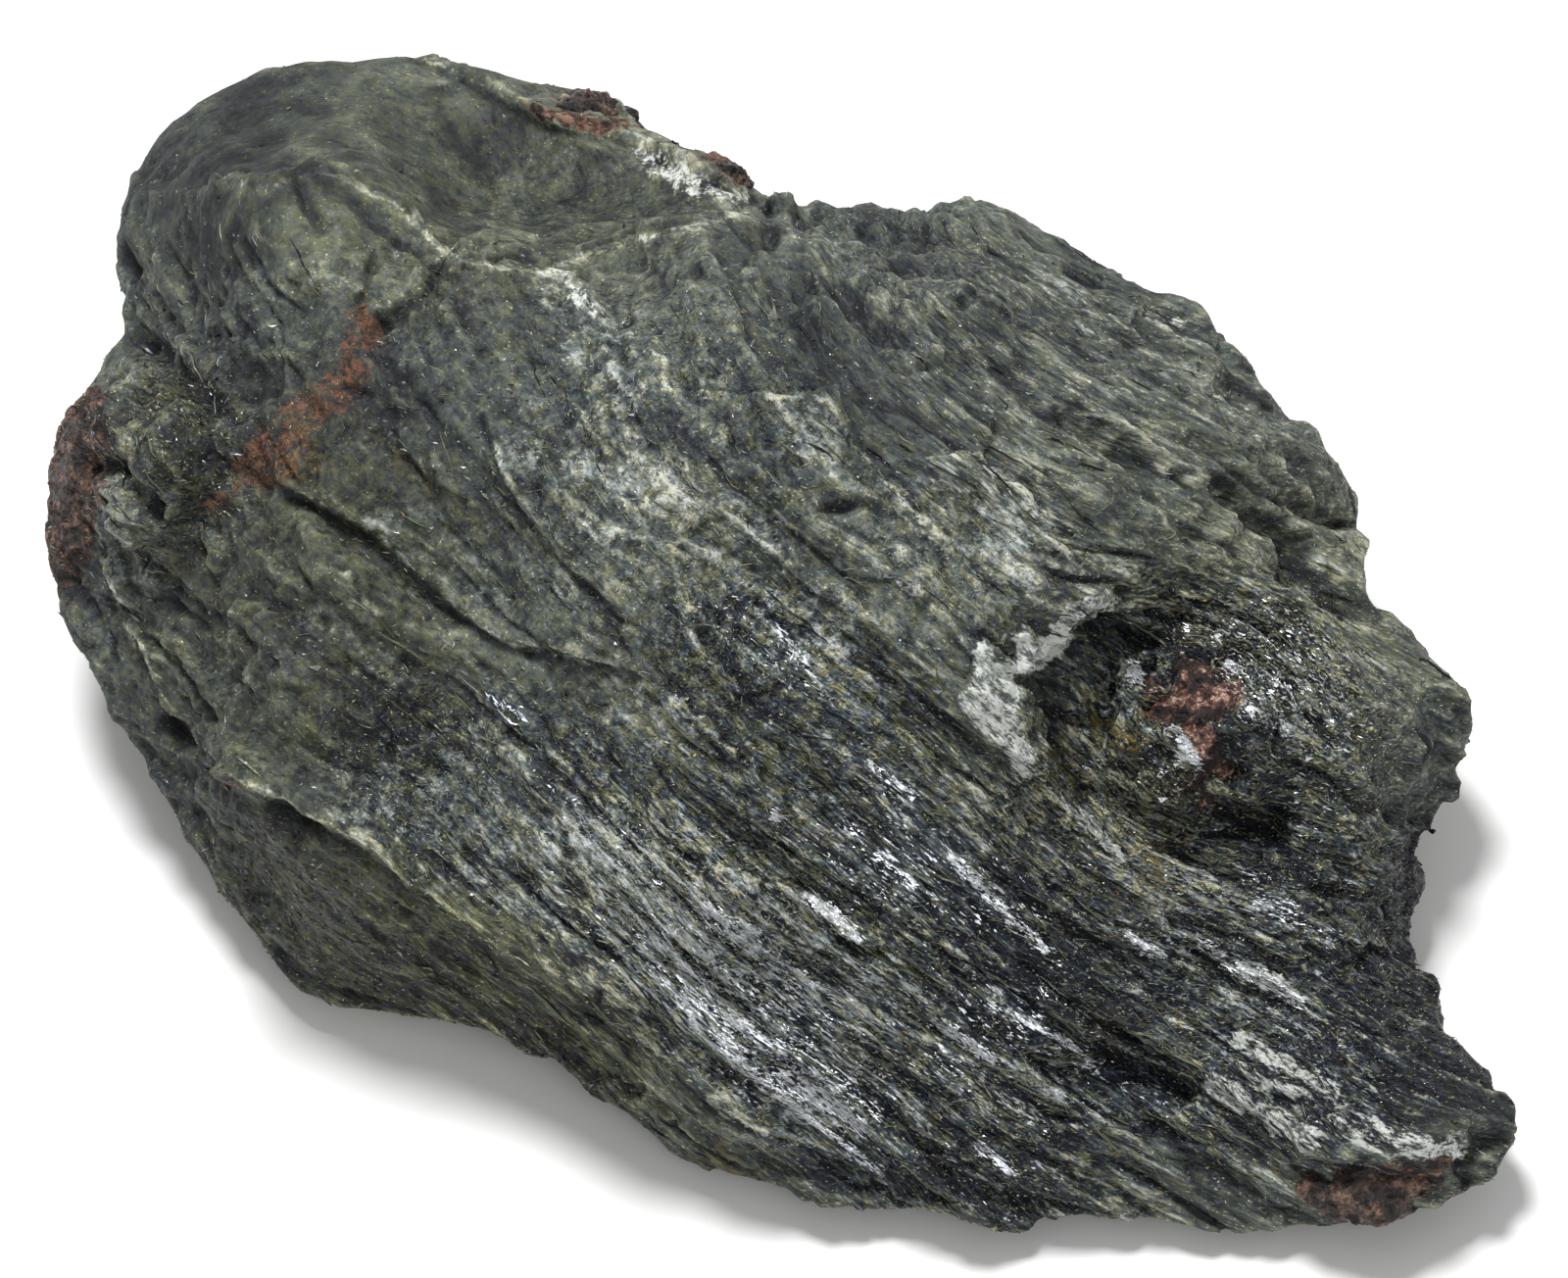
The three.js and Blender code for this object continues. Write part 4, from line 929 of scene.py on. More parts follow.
class Material:
    """A material built of nodes, with short calls for the ones used here."""

    def __init__(self, name):
        self.material = bpy.data.materials.new(name)
        self.material.use_nodes = True
        self.nodes = self.material.node_tree.nodes
        self.links = self.material.node_tree.links
        self.shader = self.nodes["Principled BSDF"]

    def set(self, node, inputs):
        for key, value in inputs.items():
            socket = node.inputs[key]
            if isinstance(value, bpy.types.NodeSocket):
                self.links.new(value, socket)
            else:
                socket.default_value = value

    def node(self, kind, inputs=None, **settings):
        node = self.nodes.new(kind)
        for key, value in settings.items():
            setattr(node, key, value)
        self.set(node, inputs or {})
        return node

    def mark(self, name, output="Fac"):
        """A mark that was written on the stone's vertices."""
        return self.node("ShaderNodeAttribute", attribute_name=name).outputs[output]

    def vector(self, operation, a, b):
        return self.node("ShaderNodeVectorMath", {0: a, 1: b}, operation=operation).outputs[0]

    def scaled(self, vector, scale):
        return self.vector("MULTIPLY", vector, scale)

    def place(self):
        """The place on the piece, in mm."""
        return self.scaled(self.node("ShaderNodeTexCoord").outputs["Object"], (1 / MM,) * 3)

    def channels(self, colour):
        return self.node("ShaderNodeSeparateColor", {"Color": colour}).outputs

    def noise(self, vector, scale, detail=4.0, roughness=0.6):
        inputs = {"Vector": vector, "Scale": scale, "Detail": detail, "Roughness": roughness}
        return self.node("ShaderNodeTexNoise", inputs).outputs["Fac"]

    def cells(self, vector, scale=1.0):
        """A colour drawn at random for each cell of a sponge."""
        inputs = {"Vector": vector, "Scale": scale}
        return self.node("ShaderNodeTexVoronoi", inputs).outputs["Color"]

    def math(self, operation, a, b=0.0):
        return self.node("ShaderNodeMath", {0: a, 1: b}, operation=operation).outputs[0]

    def span(self, value, low, high, to_low=0.0, to_high=1.0):
        """From one value to another as the given one goes from low to high."""
        inputs = {
            "Value": value, "From Min": low, "From Max": high, "To Min": to_low, "To Max": to_high,
        }
        node = self.node("ShaderNodeMapRange", inputs, interpolation_type="SMOOTHSTEP")
        return node.outputs[0]

    def blend(self, share, a, b):
        node = self.node("ShaderNodeMix", data_type="RGBA")
        self.set(node, {0: share, 6: a, 7: b})
        return node.outputs[2]

    def ramp(self, value, stops):
        node = self.node("ShaderNodeValToRGB", {"Fac": value})
        elements = node.color_ramp.elements
        while len(elements) < len(stops):
            elements.new(1.0)
        for element, (place, colour) in zip(elements, stops):
            element.position, element.color = place, colour
        return node.outputs["Color"]

    def times(self, a, b):
        return self.math("MULTIPLY", a, b)

    def sum(self, *values):
        """The sum of several values."""
        total = values[0]
        for value in values[1:]:
            total = self.math("ADD", total, value)
        return total

    def swing(self, value, amount):
        """A value about 0.5, as a swing about 0 of a given amount."""
        return self.times(self.math("SUBTRACT", value, 0.5), amount)

    def mean(self, a, b, share):
        """From a to b as the share goes from 0 to 1."""
        return self.math("ADD", a, self.times(self.math("SUBTRACT", b, a), share))

    def grain_lines(self, vector, half_width):
        """1 along thin winding lines."""
        middle = self.math("SUBTRACT", self.noise(vector, 1.0, 3.0, 0.6), 0.5)
        return self.span(self.math("ABSOLUTE", middle), 0.0, half_width, 1.0, 0.0)

    def tilted_normal(self, cells, amount, plate=0.0):
        """The surface normal, turned at random by flakes, and one way on plates of mica."""
        normal = self.node("ShaderNodeNewGeometry").outputs["Normal"]
        sheen = self.node("ShaderNodeVectorMath", {0: tuple(SHEEN_NORMAL)}, operation="SCALE")
        self.set(sheen, {"Scale": self.times(plate, SHEEN_PULL)})
        normal = self.vector("ADD", normal, sheen.outputs[0])
        spread = self.vector("SUBTRACT", cells, (0.5, 0.5, 0.5))
        node = self.node("ShaderNodeVectorMath", {0: spread}, operation="SCALE")
        self.set(node, {"Scale": amount})
        turned = self.vector("ADD", normal, node.outputs[0])
        return self.node("ShaderNodeVectorMath", {0: turned}, operation="NORMALIZE").outputs[0]


def rgb(red, green, blue):
    """A colour given as it looks on screen, 0 to 255, as linear light."""
    def linear(value):
        value /= 255
        return value / 12.92 if value <= 0.04045 else ((value + 0.055) / 1.055) ** 2.4
    return (linear(red), linear(green), linear(blue), 1.0)


def tones(places, *colours):
    """Stops of a ramp: places from 0 to 1, each with a colour as it looks on screen."""
    return [(place, rgb(*colour)) for place, colour in zip(places, colours)]


EVEN = (0.0, 0.2, 0.4, 0.6, 0.8, 1.0)
COOL_TONES = tones(EVEN, (9, 13, 25), (26, 33, 47), (48, 58, 68), (80, 90, 95), (128, 137, 140),
                   (186, 192, 194))
WARM_TONES = tones(EVEN, (20, 20, 14), (43, 44, 30), (70, 72, 48), (102, 103, 74),
                   (150, 148, 115), (202, 198, 168))
UNEVEN = (0.0, 0.30, 0.52, 0.75, 1.0)
# Garnet ramp; its palest stop is a painted highlight on the grains
GARNET_TONES = tones(UNEVEN, (12, 9, 9), (40, 26, 23), (80, 53, 46), (132, 92, 78),
                     (214, 184, 168))
BROWN_TONES = tones(UNEVEN, (13, 11, 11), (34, 26, 23), (56, 43, 38), (86, 63, 53),
                    (134, 104, 88))
CRUST_DARK, CRUST_LIGHT = rgb(88, 92, 91), rgb(204, 208, 202)
# Pale mica with painted sheen: the near-white stands in for the lamps' reflection
PALE_MICA_AND_SHEEN_DARK, PALE_MICA_AND_SHEEN = rgb(186, 194, 206), rgb(246, 250, 255)
RUST_DARK, RUST_LIGHT, OCHRE = rgb(42, 32, 25), rgb(110, 71, 49), rgb(104, 90, 36)
GARNET_RUST, GARNET_ORANGE = rgb(40, 28, 20), rgb(108, 66, 38)

# Grains of the schist: size in mm, how drawn out along the layers, detail, roughness
COARSE, MIDDLE = (0.75, 3.5, 4.0, 0.6), (0.34, 3.0, 3.0, 0.6)
FINE, SPECKS = (0.15, 2.2, 2.0, 0.6), (0.17, 1.5, 1.0, 0.5)
# How far the coarse, middle and fine grain swing a tone, or the edge of a mark
SWINGS = {
    "tone": (1.3, 1.2, 0.6), "lip": (1.4, 0.7, 0), "powder": (1.8, 1.6, 0), "crust": (1.2, 1.4, 0.8),
    "garnet": (0, 1.6, 0.8), "glow": (3.0, 2.2, 1.4), "rust": (2.2, 1.5, 0.9),
}
# Where a mark begins to show, and where it covers all
EDGES = {
    "powder": (0.30, 1.00), "crust": (0.30, 0.70), "garnet": (0.40, 0.65), "rust": (0.30, 1.10),
    "specks": (0.66, 0.71), "plate": (0.67, 0.74), "lip": (0.50, 0.80), "foot": (0.40, 0.75),
}
# Treads: painted highlight on each rim, and painted shade below it
TREAD_HIGHLIGHTS_AND_SHADES = (("broad_treads", 0.22, 0.20), ("narrow_treads", 0.15, 0.15))  # rim, shade below
# Tone of the painted highlight on ledge lips, of the painted shadow at their feet, of the powder, and
# a lift for all
LIP_HIGHLIGHT_TONE, FOOT_SHADOW_TONE, POWDER_TONE, TONE_LIFT = 0.24, -0.20, 0.20, 0.03
SOFT_GAIN, HARSH_GAIN = 0.43, 1.52  # contrast of the grain
SOFT_HUES, COOL_IN_SILVER = 0.35, 0.15  # swing between cool and warm that is left
BUMP_HEIGHTS = (1.6, 1.0, 0.45)  # of the coarse, middle and fine grain


def schist_material():
    """Mica schist: fine dark and pale grain, round or drawn out along the layers by zone."""
    m = Material("mica_schist")
    layers, place = m.mark("layers", "Vector"), m.place()
    lined, harsh, glitter, silver = (m.mark(name) for name in ("lined", "harsh", "glitter", "silver"))

    def grain(size, long, detail, roughness):
        """Noise of a grain size in mm, drawn out along the layers in lined zones."""
        drawn = m.scaled(layers, (1 / (long * size), 1.5 / size, 1 / size))
        drawn = m.noise(drawn, 1.0, detail, roughness)
        return m.mean(m.noise(place, 1 / size, detail, roughness), drawn, lined)

    coarse, middle, fine, specks = (grain(*kind) for kind in (COARSE, MIDDLE, FINE, SPECKS))

    def grainy(name, *start):
        """Values with the swings of the grain added."""
        swings = zip((coarse, middle, fine), SWINGS[name])
        return m.sum(*start, *[m.swing(kind, amount) for kind, amount in swings if amount])

    def shown(name, value):
        return m.span(value, *EDGES[name])

    # Tone, from dark to pale
    broken = m.span(m.noise(place, 0.4, 2.0), 0.40, 0.58)
    flakes = m.cells(m.scaled(layers, (2.4, 6.0, 4.0)))
    flake = m.channels(flakes)
    fibres = m.noise(m.scaled(layers, (0.28, 5.0, 3.0)), 1.0, 2.0, 0.5)
    grains = m.sum(grainy("tone"), m.times(m.swing(fibres, 1.3), lined))
    grains = m.sum(grains, m.span(middle, 0.38, 0.46, -0.12, 0.0))
    calm = m.span(harsh, -0.5, 0.0)
    gain = m.times(m.span(harsh, 0.0, 1.0, SOFT_GAIN, HARSH_GAIN), m.mean(0.5, 1.0, calm))
    scale = m.sum(m.span(harsh, 0.0, 1.0, 0.06, 0.20), m.times(glitter, 0.5))
    scales = m.times(m.swing(flake[0], 1.0), scale)
    tone = m.sum(m.mark("tone"), m.times(grains, gain), scales, TONE_LIFT)
    tone = m.sum(tone, m.span(coarse, 0.40, 0.46, -0.10, 0.0))
    # Painted shadow at the foot of each ledge and painted highlight on its lip
    foot, lip = grainy("lip", m.mark("foot_shadow")), grainy("lip", m.mark("lip_highlight"))
    tone = m.sum(tone, m.span(foot, *EDGES["foot"], 0.0, FOOT_SHADOW_TONE))
    tone = m.sum(tone, m.span(lip, *EDGES["lip"], 0.0, LIP_HIGHLIGHT_TONE))
    # Painted highlight on each tread's rim and painted shade under its drop
    for treads, rim_highlight, shade in TREAD_HIGHLIGHTS_AND_SHADES:
        share = m.math("FRACT", m.sum(m.mark(treads), m.swing(middle, 0.30)))
        pale = m.times(m.span(share, 0.62, 0.88), m.span(share, 0.88, 0.93, 1.0, 0.0))
        under = m.math("MAXIMUM", m.span(share, 0.90, 0.95), m.span(share, 0.0, 0.12, 1.0, 0.0))
        edge = m.sum(m.times(pale, rim_highlight), m.times(under, -shade))
        tone = m.sum(tone, m.times(edge, m.times(broken, m.times(gain, 0.9))))
    dust = shown("powder", grainy("powder", m.mark("powder")))
    tone = m.sum(tone, m.times(dust, POWDER_TONE))
    wisps = m.grain_lines(m.scaled(layers, (0.7, 1.8, 1.2)), 0.014)
    wisps = m.times(wisps, m.span(m.noise(place, 0.5, 2.0), 0.46, 0.62, 0.0, 0.24))
    # Pale specks, partly pale grains and partly painted glints
    specks = m.sum(specks, m.swing(broken, 0.04), m.times(glitter, 0.10))
    speck_and_glint = m.times(shown("specks", specks), m.mean(0.30, 0.50, glitter))
    tone = m.mean(tone, m.times(tone, 0.5), glitter)
    dashes = m.noise(m.scaled(layers, (1.2, 7.5, 5.0)), 1.0, 1.0, 0.4)
    gaps = m.times(m.span(dashes, 0.34, 0.50, -0.18, 0.0), m.span(silver, 0.05, 0.35))
    tone = m.sum(tone, wisps, speck_and_glint, gaps)

    # Hue, from blue-grey to olive
    tint = m.noise(place, 1.6, 3.0, 0.65)
    warm = m.sum(tint, m.swing(middle, 0.5), m.swing(m.mark("tone"), 0.10), m.times(speck_and_glint, 0.4))
    warm = m.sum(warm, m.times(m.mark("warm"), 0.03))
    base = m.sum(0.50, m.times(m.mark("warm"), 0.25))
    warm = m.mean(base, m.span(warm, 0.47, 0.59), m.span(harsh, 0.0, 1.0, SOFT_HUES, 1.0))
    warm = m.times(warm, m.math("SUBTRACT", 1.0, m.times(dust, 0.4)))
    warm = m.times(warm, m.span(silver, 0.0, 0.4, 1.0, COOL_IN_SILVER))
    colour = m.blend(warm, m.ramp(tone, COOL_TONES), m.ramp(tone, WARM_TONES))

    # Pale crusts and bared garnet
    crust = shown("crust", grainy("crust", m.mark("crust")))
    grit = m.sum(middle, m.swing(fine, 0.8), m.swing(coarse, 1.2))
    grit = m.sum(grit, m.swing(m.noise(place, 0.8), 0.9), m.span(fine, 0.32, 0.42, -0.25, 0.0))
    colour = m.blend(crust, colour, m.blend(m.span(grit, 0.28, 0.62), CRUST_DARK, CRUST_LIGHT))
    bare = shown("garnet", grainy("garnet", m.mark("garnet")))
    brown = m.span(m.mark("brown"), 0.0, 0.2)
    glow = m.sum(grainy("glow", m.mean(0.26, 0.0, brown)), speck_and_glint, m.mark("tone"))
    red = m.blend(brown, m.ramp(glow, GARNET_TONES), m.ramp(glow, BROWN_TONES))
    colour = m.blend(bare, colour, red)

    # Bright mica with painted sheen, rust and ochre
    shiny = m.sum(dashes, m.times(silver, 0.22), m.swing(fine, 0.08))
    plate = shown("plate", m.sum(shiny, m.span(silver, 0.0, 0.35, -0.14, 0.0)))
    sheen = m.blend(m.span(m.sum(fine, m.swing(flake[1], 0.2)), 0.40, 0.60), PALE_MICA_AND_SHEEN_DARK, PALE_MICA_AND_SHEEN)
    colour = m.blend(plate, colour, sheen)
    rusty = shown("rust", grainy("rust", m.mark("rust")))
    rust = m.sum(middle, m.swing(coarse, 0.8), m.swing(fine, 0.7), m.times(speck_and_glint, 0.5))
    rust = m.blend(m.span(rust, 0.36, 0.70), RUST_DARK, RUST_LIGHT)
    colour = m.blend(m.times(rusty, 0.92), colour, rust)
    yellow = m.times(m.mark("ochre"), m.span(middle, 0.44, 0.60))
    colour = m.blend(m.times(yellow, 0.8), colour, OCHRE)

    # Gloss and fine relief
    gloss = m.span(m.sum(flake[2], m.swing(fine, 1.0)), 0.0, 1.0)
    rough = m.mean(m.span(harsh, -0.5, 1.0, 0.68, 0.30), 0.85, gloss)
    rough = m.mean(m.math("MAXIMUM", rough, m.times(crust, 0.85)), 0.34, plate)
    heights = zip((coarse, middle, fine), BUMP_HEIGHTS)
    bump = m.node("ShaderNodeBump", {
        "Height": m.sum(*[m.times(kind, height) for kind, height in heights]),
        "Normal": m.tilted_normal(flakes, m.times(gain, 0.24), plate),
        "Strength": m.mean(m.times(gain, 0.75), 0.4, plate), "Distance": 0.0004,
    })
    m.set(m.shader, {
        "Base Color": colour, "Roughness": rough, "Normal": bump.outputs[0],
        "Metallic": m.times(plate, 0.2), "Specular IOR Level": 0.35,
    })
    return m.material


# Fine and broad grain of the garnets: grains a mm, detail, roughness
GARNET_FINE, GARNET_BROAD, GARNET_RUSTY = (5.0, 5.0, 0.75), (0.9, 3.0, 0.5), (1.1, 4.0, 0.7)
FINE_SWING, CELL_SWING, BROAD_SWING = 2.0, 0.5, 2.8
GARNET_CELLS, GARNET_TILT = 2.6, 0.6
GARNET_CRACKS, CRACK_HALF = (1.4, 1.4, 1.4), 0.02
CRACK_TONE, CRACK_HEIGHT = -0.4, -0.5


def garnet_material(name, tones, middle_tone, rust_share):
    """Fractured glassy grains, dark to pinkish brown, rusty in places."""
    m = Material(name)
    place = m.place()
    fine = m.noise(place, *GARNET_FINE)
    broad = m.noise(place, *GARNET_BROAD)
    cells = m.cells(place, GARNET_CELLS)
    cell = m.channels(cells)
    cracks = m.grain_lines(m.scaled(place, GARNET_CRACKS), CRACK_HALF)
    swings = (fine, FINE_SWING), (cell[0], CELL_SWING), (broad, BROAD_SWING)
    tone = m.sum(*(m.swing(value, amount) for value, amount in swings), middle_tone)
    tone = m.sum(tone, m.times(cracks, CRACK_TONE))
    colour = m.ramp(tone, tones)
    rusty = m.span(m.noise(place, *GARNET_RUSTY), 0.52, 0.66, 0.0, rust_share)
    colour = m.blend(rusty, colour, m.blend(m.span(tone, 0.2, 0.7), GARNET_RUST, GARNET_ORANGE))
    bump = m.node("ShaderNodeBump", {
        "Height": m.sum(fine, m.times(cracks, CRACK_HEIGHT)),
        "Normal": m.tilted_normal(cells, GARNET_TILT), "Strength": 0.7, "Distance": 0.0003,
    })
    m.set(m.shader, {
        "Base Color": colour, "Normal": bump.outputs[0],
        "Roughness": m.span(cell[1], 0, 1, 0.20, 0.60), "Specular IOR Level": 0.6,
    })
    return m.material


MICA = {  # colour, lowest and highest roughness, metallic
    "black": (rgb(18, 22, 31), 0.25, 0.60), "slate": (rgb(46, 55, 61), 0.28, 0.65),
    "olive": (rgb(58, 59, 38), 0.30, 0.65), "green": (rgb(86, 92, 70), 0.30, 0.65),
    "cream": (rgb(132, 131, 104), 0.35, 0.75), "ash": (rgb(132, 141, 142), 0.35, 0.75),
    "silver": (rgb(196, 199, 200), 0.18, 0.42, 0.3), "spark": (rgb(176, 176, 150), 0.20, 0.45, 0.2),
    "bronze": (rgb(136, 104, 66), 0.22, 0.50, 0.2),
}


MICA_SHADE, MICA_RIPPLE = 1800.0, 5200.0  # grains a metre


def mica_material(name, colour, low_rough, high_rough, metallic=0.0):
    """Plain-coloured mica whose gloss and fine ripple change from flake to flake."""
    m = Material(name)
    place = m.node("ShaderNodeTexCoord").outputs["Object"]
    shade = m.noise(place, MICA_SHADE, 3.0, 0.6)
    ripple = m.noise(place, MICA_RIPPLE, 2.0, 0.5)
    bump = m.node("ShaderNodeBump", {"Height": ripple, "Strength": 0.25, "Distance": 0.0001})
    m.set(m.shader, {
        "Base Color": colour, "Metallic": metallic, "Normal": bump.outputs[0],
        "Roughness": m.span(shade, 0.35, 0.65, low_rough, high_rough),
        "Specular IOR Level": 0.7,
    })
    return m.material


# Pieces

def add_piece(name, mesh, material, smooth=False):
    """Takes a mesh in mm to a piece in metres, with one material."""
    points = np.clip(read_points(mesh) * MM, cad_box[0], cad_box[1])
    write_points(mesh, points)
    mesh.name = name
    mesh.materials.clear()
    mesh.materials.append(material)
    mesh.polygons.foreach_set("use_smooth", [smooth] * len(mesh.polygons))
    piece = bpy.data.objects.new(name, mesh)
    bpy.context.scene.collection.objects.link(piece)
    return piece


def mesh_arrays(mesh):
    """Corner places, area and normal of each triangle of a mesh in mm."""
    corners, points = read_triangles(mesh), read_points(mesh)
    a, b, c = (points[corners[:, k]] for k in range(3))
    cross = np.cross(b - a, c - a)
    area = np.linalg.norm(cross, axis=1) / 2
    return corners, points, area, cross / np.maximum(2 * area, 1e-12)[:, None]


# Mica flakes: small flat scales with a point under them that sits in the stone

def scatter(rng, source, weights, count):
    """Random places on the stone, and its normals there."""
    corners, points, _, normals = source
    chosen = rng.choice(len(corners), size=count, p=weights / weights.sum())
    a, b, c = (points[corners[chosen, k]] for k in range(3))
    first, second = rng.random((2, count))
    over = first + second > 1
    first[over], second[over] = 1 - first[over], 1 - second[over]
    return a + first[:, None] * (b - a) + second[:, None] * (c - a), normals[chosen]


def turned(vectors, axis, angle):
    """Vectors turned about unit axes by angles."""
    angle = angle[:, None]
    dot = np.einsum("ij,ij->i", vectors, axis)[:, None]
    return (vectors * np.cos(angle) + np.cross(axis, vectors) * np.sin(angle)
            + axis * dot * (1 - np.cos(angle)))


def flake_mesh(name, rng, places, normal, length, width, tilt, lift, sheen=0.0):
    """A mesh of splinters: each a ragged three-cornered face over one point."""
    count = len(places)
    normal = normal + sheen * SHEEN_NORMAL
    normal = normal / np.linalg.norm(normal, axis=1)[:, None]
    run = run_at(places, normal)
    astray = 0.9 - 0.75 * lined_zones(layout(places)[0])
    run = turned(run, normal, rng.normal(0, 1, count) * astray)
    side = np.cross(normal, run)
    side = turned(side, run, rng.normal(0, tilt, count))
    run = turned(run, side, rng.normal(0, tilt * 0.6, count))
    up = np.cross(run, side)
    half_long = (length * np.exp(rng.normal(0, 0.45, count)) / 2)[:, None]
    half_wide = (width * np.exp(rng.normal(0, 0.40, count)) / 2)[:, None]
    middle = places + normal * (lift * rng.random(count))[:, None]
    flip = np.where(rng.random(count) < 0.5, 1.0, -1.0)[:, None]

    def corner(along, across):
        jitter = rng.uniform(0.6, 1.2, (2, count, 1))
        return (middle + flip * along * half_long * jitter[0] * run
                + flip * across * half_wide * jitter[1] * side)

    ring = [corner(-1, -0.3), corner(0.1, -1), corner(1, 0.9)]
    under = middle - up * np.maximum(half_wide, half_long * 0.5)
    points = np.stack([*ring, under], axis=1).reshape(-1, 3)
    base = 4 * np.arange(count)[:, None]
    faces = np.concatenate([base + [0, 1, 2], base + [1, 0, 3], base + [2, 1, 3], base + [0, 2, 3]])
    return make_mesh(name, points, faces.tolist())


# Mica sheets seen on edge: thin crests that run along the layers

SHEET_STEP = 0.28
SHEET_SINK = 0.10
PROBE_STEP = 0.25  # how far apart places are compared to find the way of the layers


def surface_at(tree, points):
    """The nearest places on the stone's face, and its normals there."""
    found = [tree.find_nearest(point)[:2] for point in points]
    return np.array([list(hit[0]) for hit in found]), np.array([list(hit[1]) for hit in found])


def run_at(places, normals):
    """Direction of the layers in the face at places on it."""
    here = foliation(places)[:, 1]
    slope = np.stack([
        foliation(places + PROBE_STEP * axis)[:, 1] - here for axis in np.eye(3)
    ], axis=1)
    run = np.cross(normals, slope)
    return run / np.maximum(np.linalg.norm(run, axis=1), 1e-9)[:, None]


def follow_layers(tree, places, step_length, wander):
    """Walks each place along the layers on the stone: paths and their normals."""
    paths, normals = [], []
    heading = None
    for step in range(wander.shape[1]):
        places, normal = surface_at(tree, places)
        run = run_at(places, normal)
        if heading is not None:
            run *= np.sign(np.einsum("ij,ij->i", run, heading))[:, None]
        heading = run
        paths.append(places)
        normals.append(normal)
        side = np.cross(normal, run)
        places = places + step_length * (run + wander[:, step:step + 1] * side)
    return np.stack(paths, axis=1), np.stack(normals, axis=1)


def sheet_mesh(paths, normals, half_wide, height, lean):
    """Tapered crests of three-cornered section along paths: points and faces."""
    count, steps = paths.shape[:2]
    along = np.gradient(paths, axis=1)
    side = np.cross(normals, along)
    side /= np.maximum(np.linalg.norm(side, axis=2), 1e-9)[:, :, None]
    taper = np.sin(np.pi * np.linspace(0.06, 0.94, steps))[None, :, None] ** 0.7
    half_wide, height = half_wide[:, None, None] * taper, height[:, None, None] * taper
    lean = lean[:, None, None]
    crest = paths + normals * height + side * half_wide * lean
    left = paths - side * half_wide - normals * SHEET_SINK
    right = paths + side * half_wide - normals * SHEET_SINK
    points = np.stack([crest, left, right], axis=2).reshape(-1, 3)
    base = 3 * steps * np.arange(count)[:, None]
    faces = [base + [0, 1, 2], base + 3 * (steps - 1) + [0, 2, 1]]
    for step in range(steps - 1):
        near, far = 3 * step, 3 * (step + 1)
        for a, b in ((0, 1), (1, 2), (2, 0)):
            faces.append(base + [near + b, near + a, far + a])
            faces.append(base + [near + b, far + a, far + b])
    return points, np.concatenate(faces)


def scattered_sheets(rng, tree, source, weights, count, size, curl, lengths, step_length):
    """Sheets set at random, of a few lengths [steps, share]."""
    parts = []
    for steps, share in lengths:
        many = int(count * share)
        places = scatter(rng, source, weights, many)[0]
        start = rng.normal(0, 2.5 * curl, (many, 1))
        wander = start + np.cumsum(rng.normal(0, curl, (many, steps)), axis=1)
        paths, normals = follow_layers(tree, places, step_length, wander)
        half_wide = size * rng.uniform(0.6, 1.4, many)
        height = size * rng.uniform(0.5, 1.4, many)
        parts.append(sheet_mesh(paths, normals, half_wide, height, rng.uniform(-1.1, 1.1, many)))
    return joined(parts)


# Garnets

GARNET_GROWTH = 1.02
GARNET_ROUNDS = 3
GARNET_VOXEL = 0.18
GARNET_TRIANGLES = 5000
CHIP = Noise(31)


def build_garnet(name):
    """A rough crystal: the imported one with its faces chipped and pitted."""
    points, faces = node_mesh(name)
    middle = points.mean(axis=0)
    points = middle + GARNET_GROWTH * (points - middle)
    mesh = voxel_mesh([(points, faces)], GARNET_VOXEL)
    points = relax(read_points(mesh), read_edges(mesh), GARNET_ROUNDS)
    write_points(mesh, points)
    chips = -0.40 * np.abs(CHIP(points / 1.1)) - 0.30 * np.abs(CHIP(points / 0.55 + 4))
    relief = 0.15 + chips + 0.12 * CHIP.layers(points / 0.4, 2)
    write_points(mesh, points + read_normals(mesh) * relief[:, None])
    return thinned(mesh, GARNET_TRIANGLES)


# Assembly

def add_schist_piece(name, mesh, material, smooth=False):
    piece = add_piece(name, mesh, material, smooth)
    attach(piece, "root")
    return piece


FLAKE_SEED = 5
MICA_CLEAR = 0.6  # how far above the foot the mica begins, in mm
FRONT_FACING = 0.05  # from here a triangle counts as one of the front
HIDDEN_FLAKES, HIDDEN_SHEETS = 0.45, 0.15  # share of mica on the sides that the front hides
SMOOTH_BARE = 0.6  # share of mica that the smooth skin lacks
SHORT_SHEETS = ((4, 0.5), (6, 0.35), (9, 0.15))  # steps, share
LONG_SHEETS = ((4, 0.45), (7, 0.40), (12, 0.15))


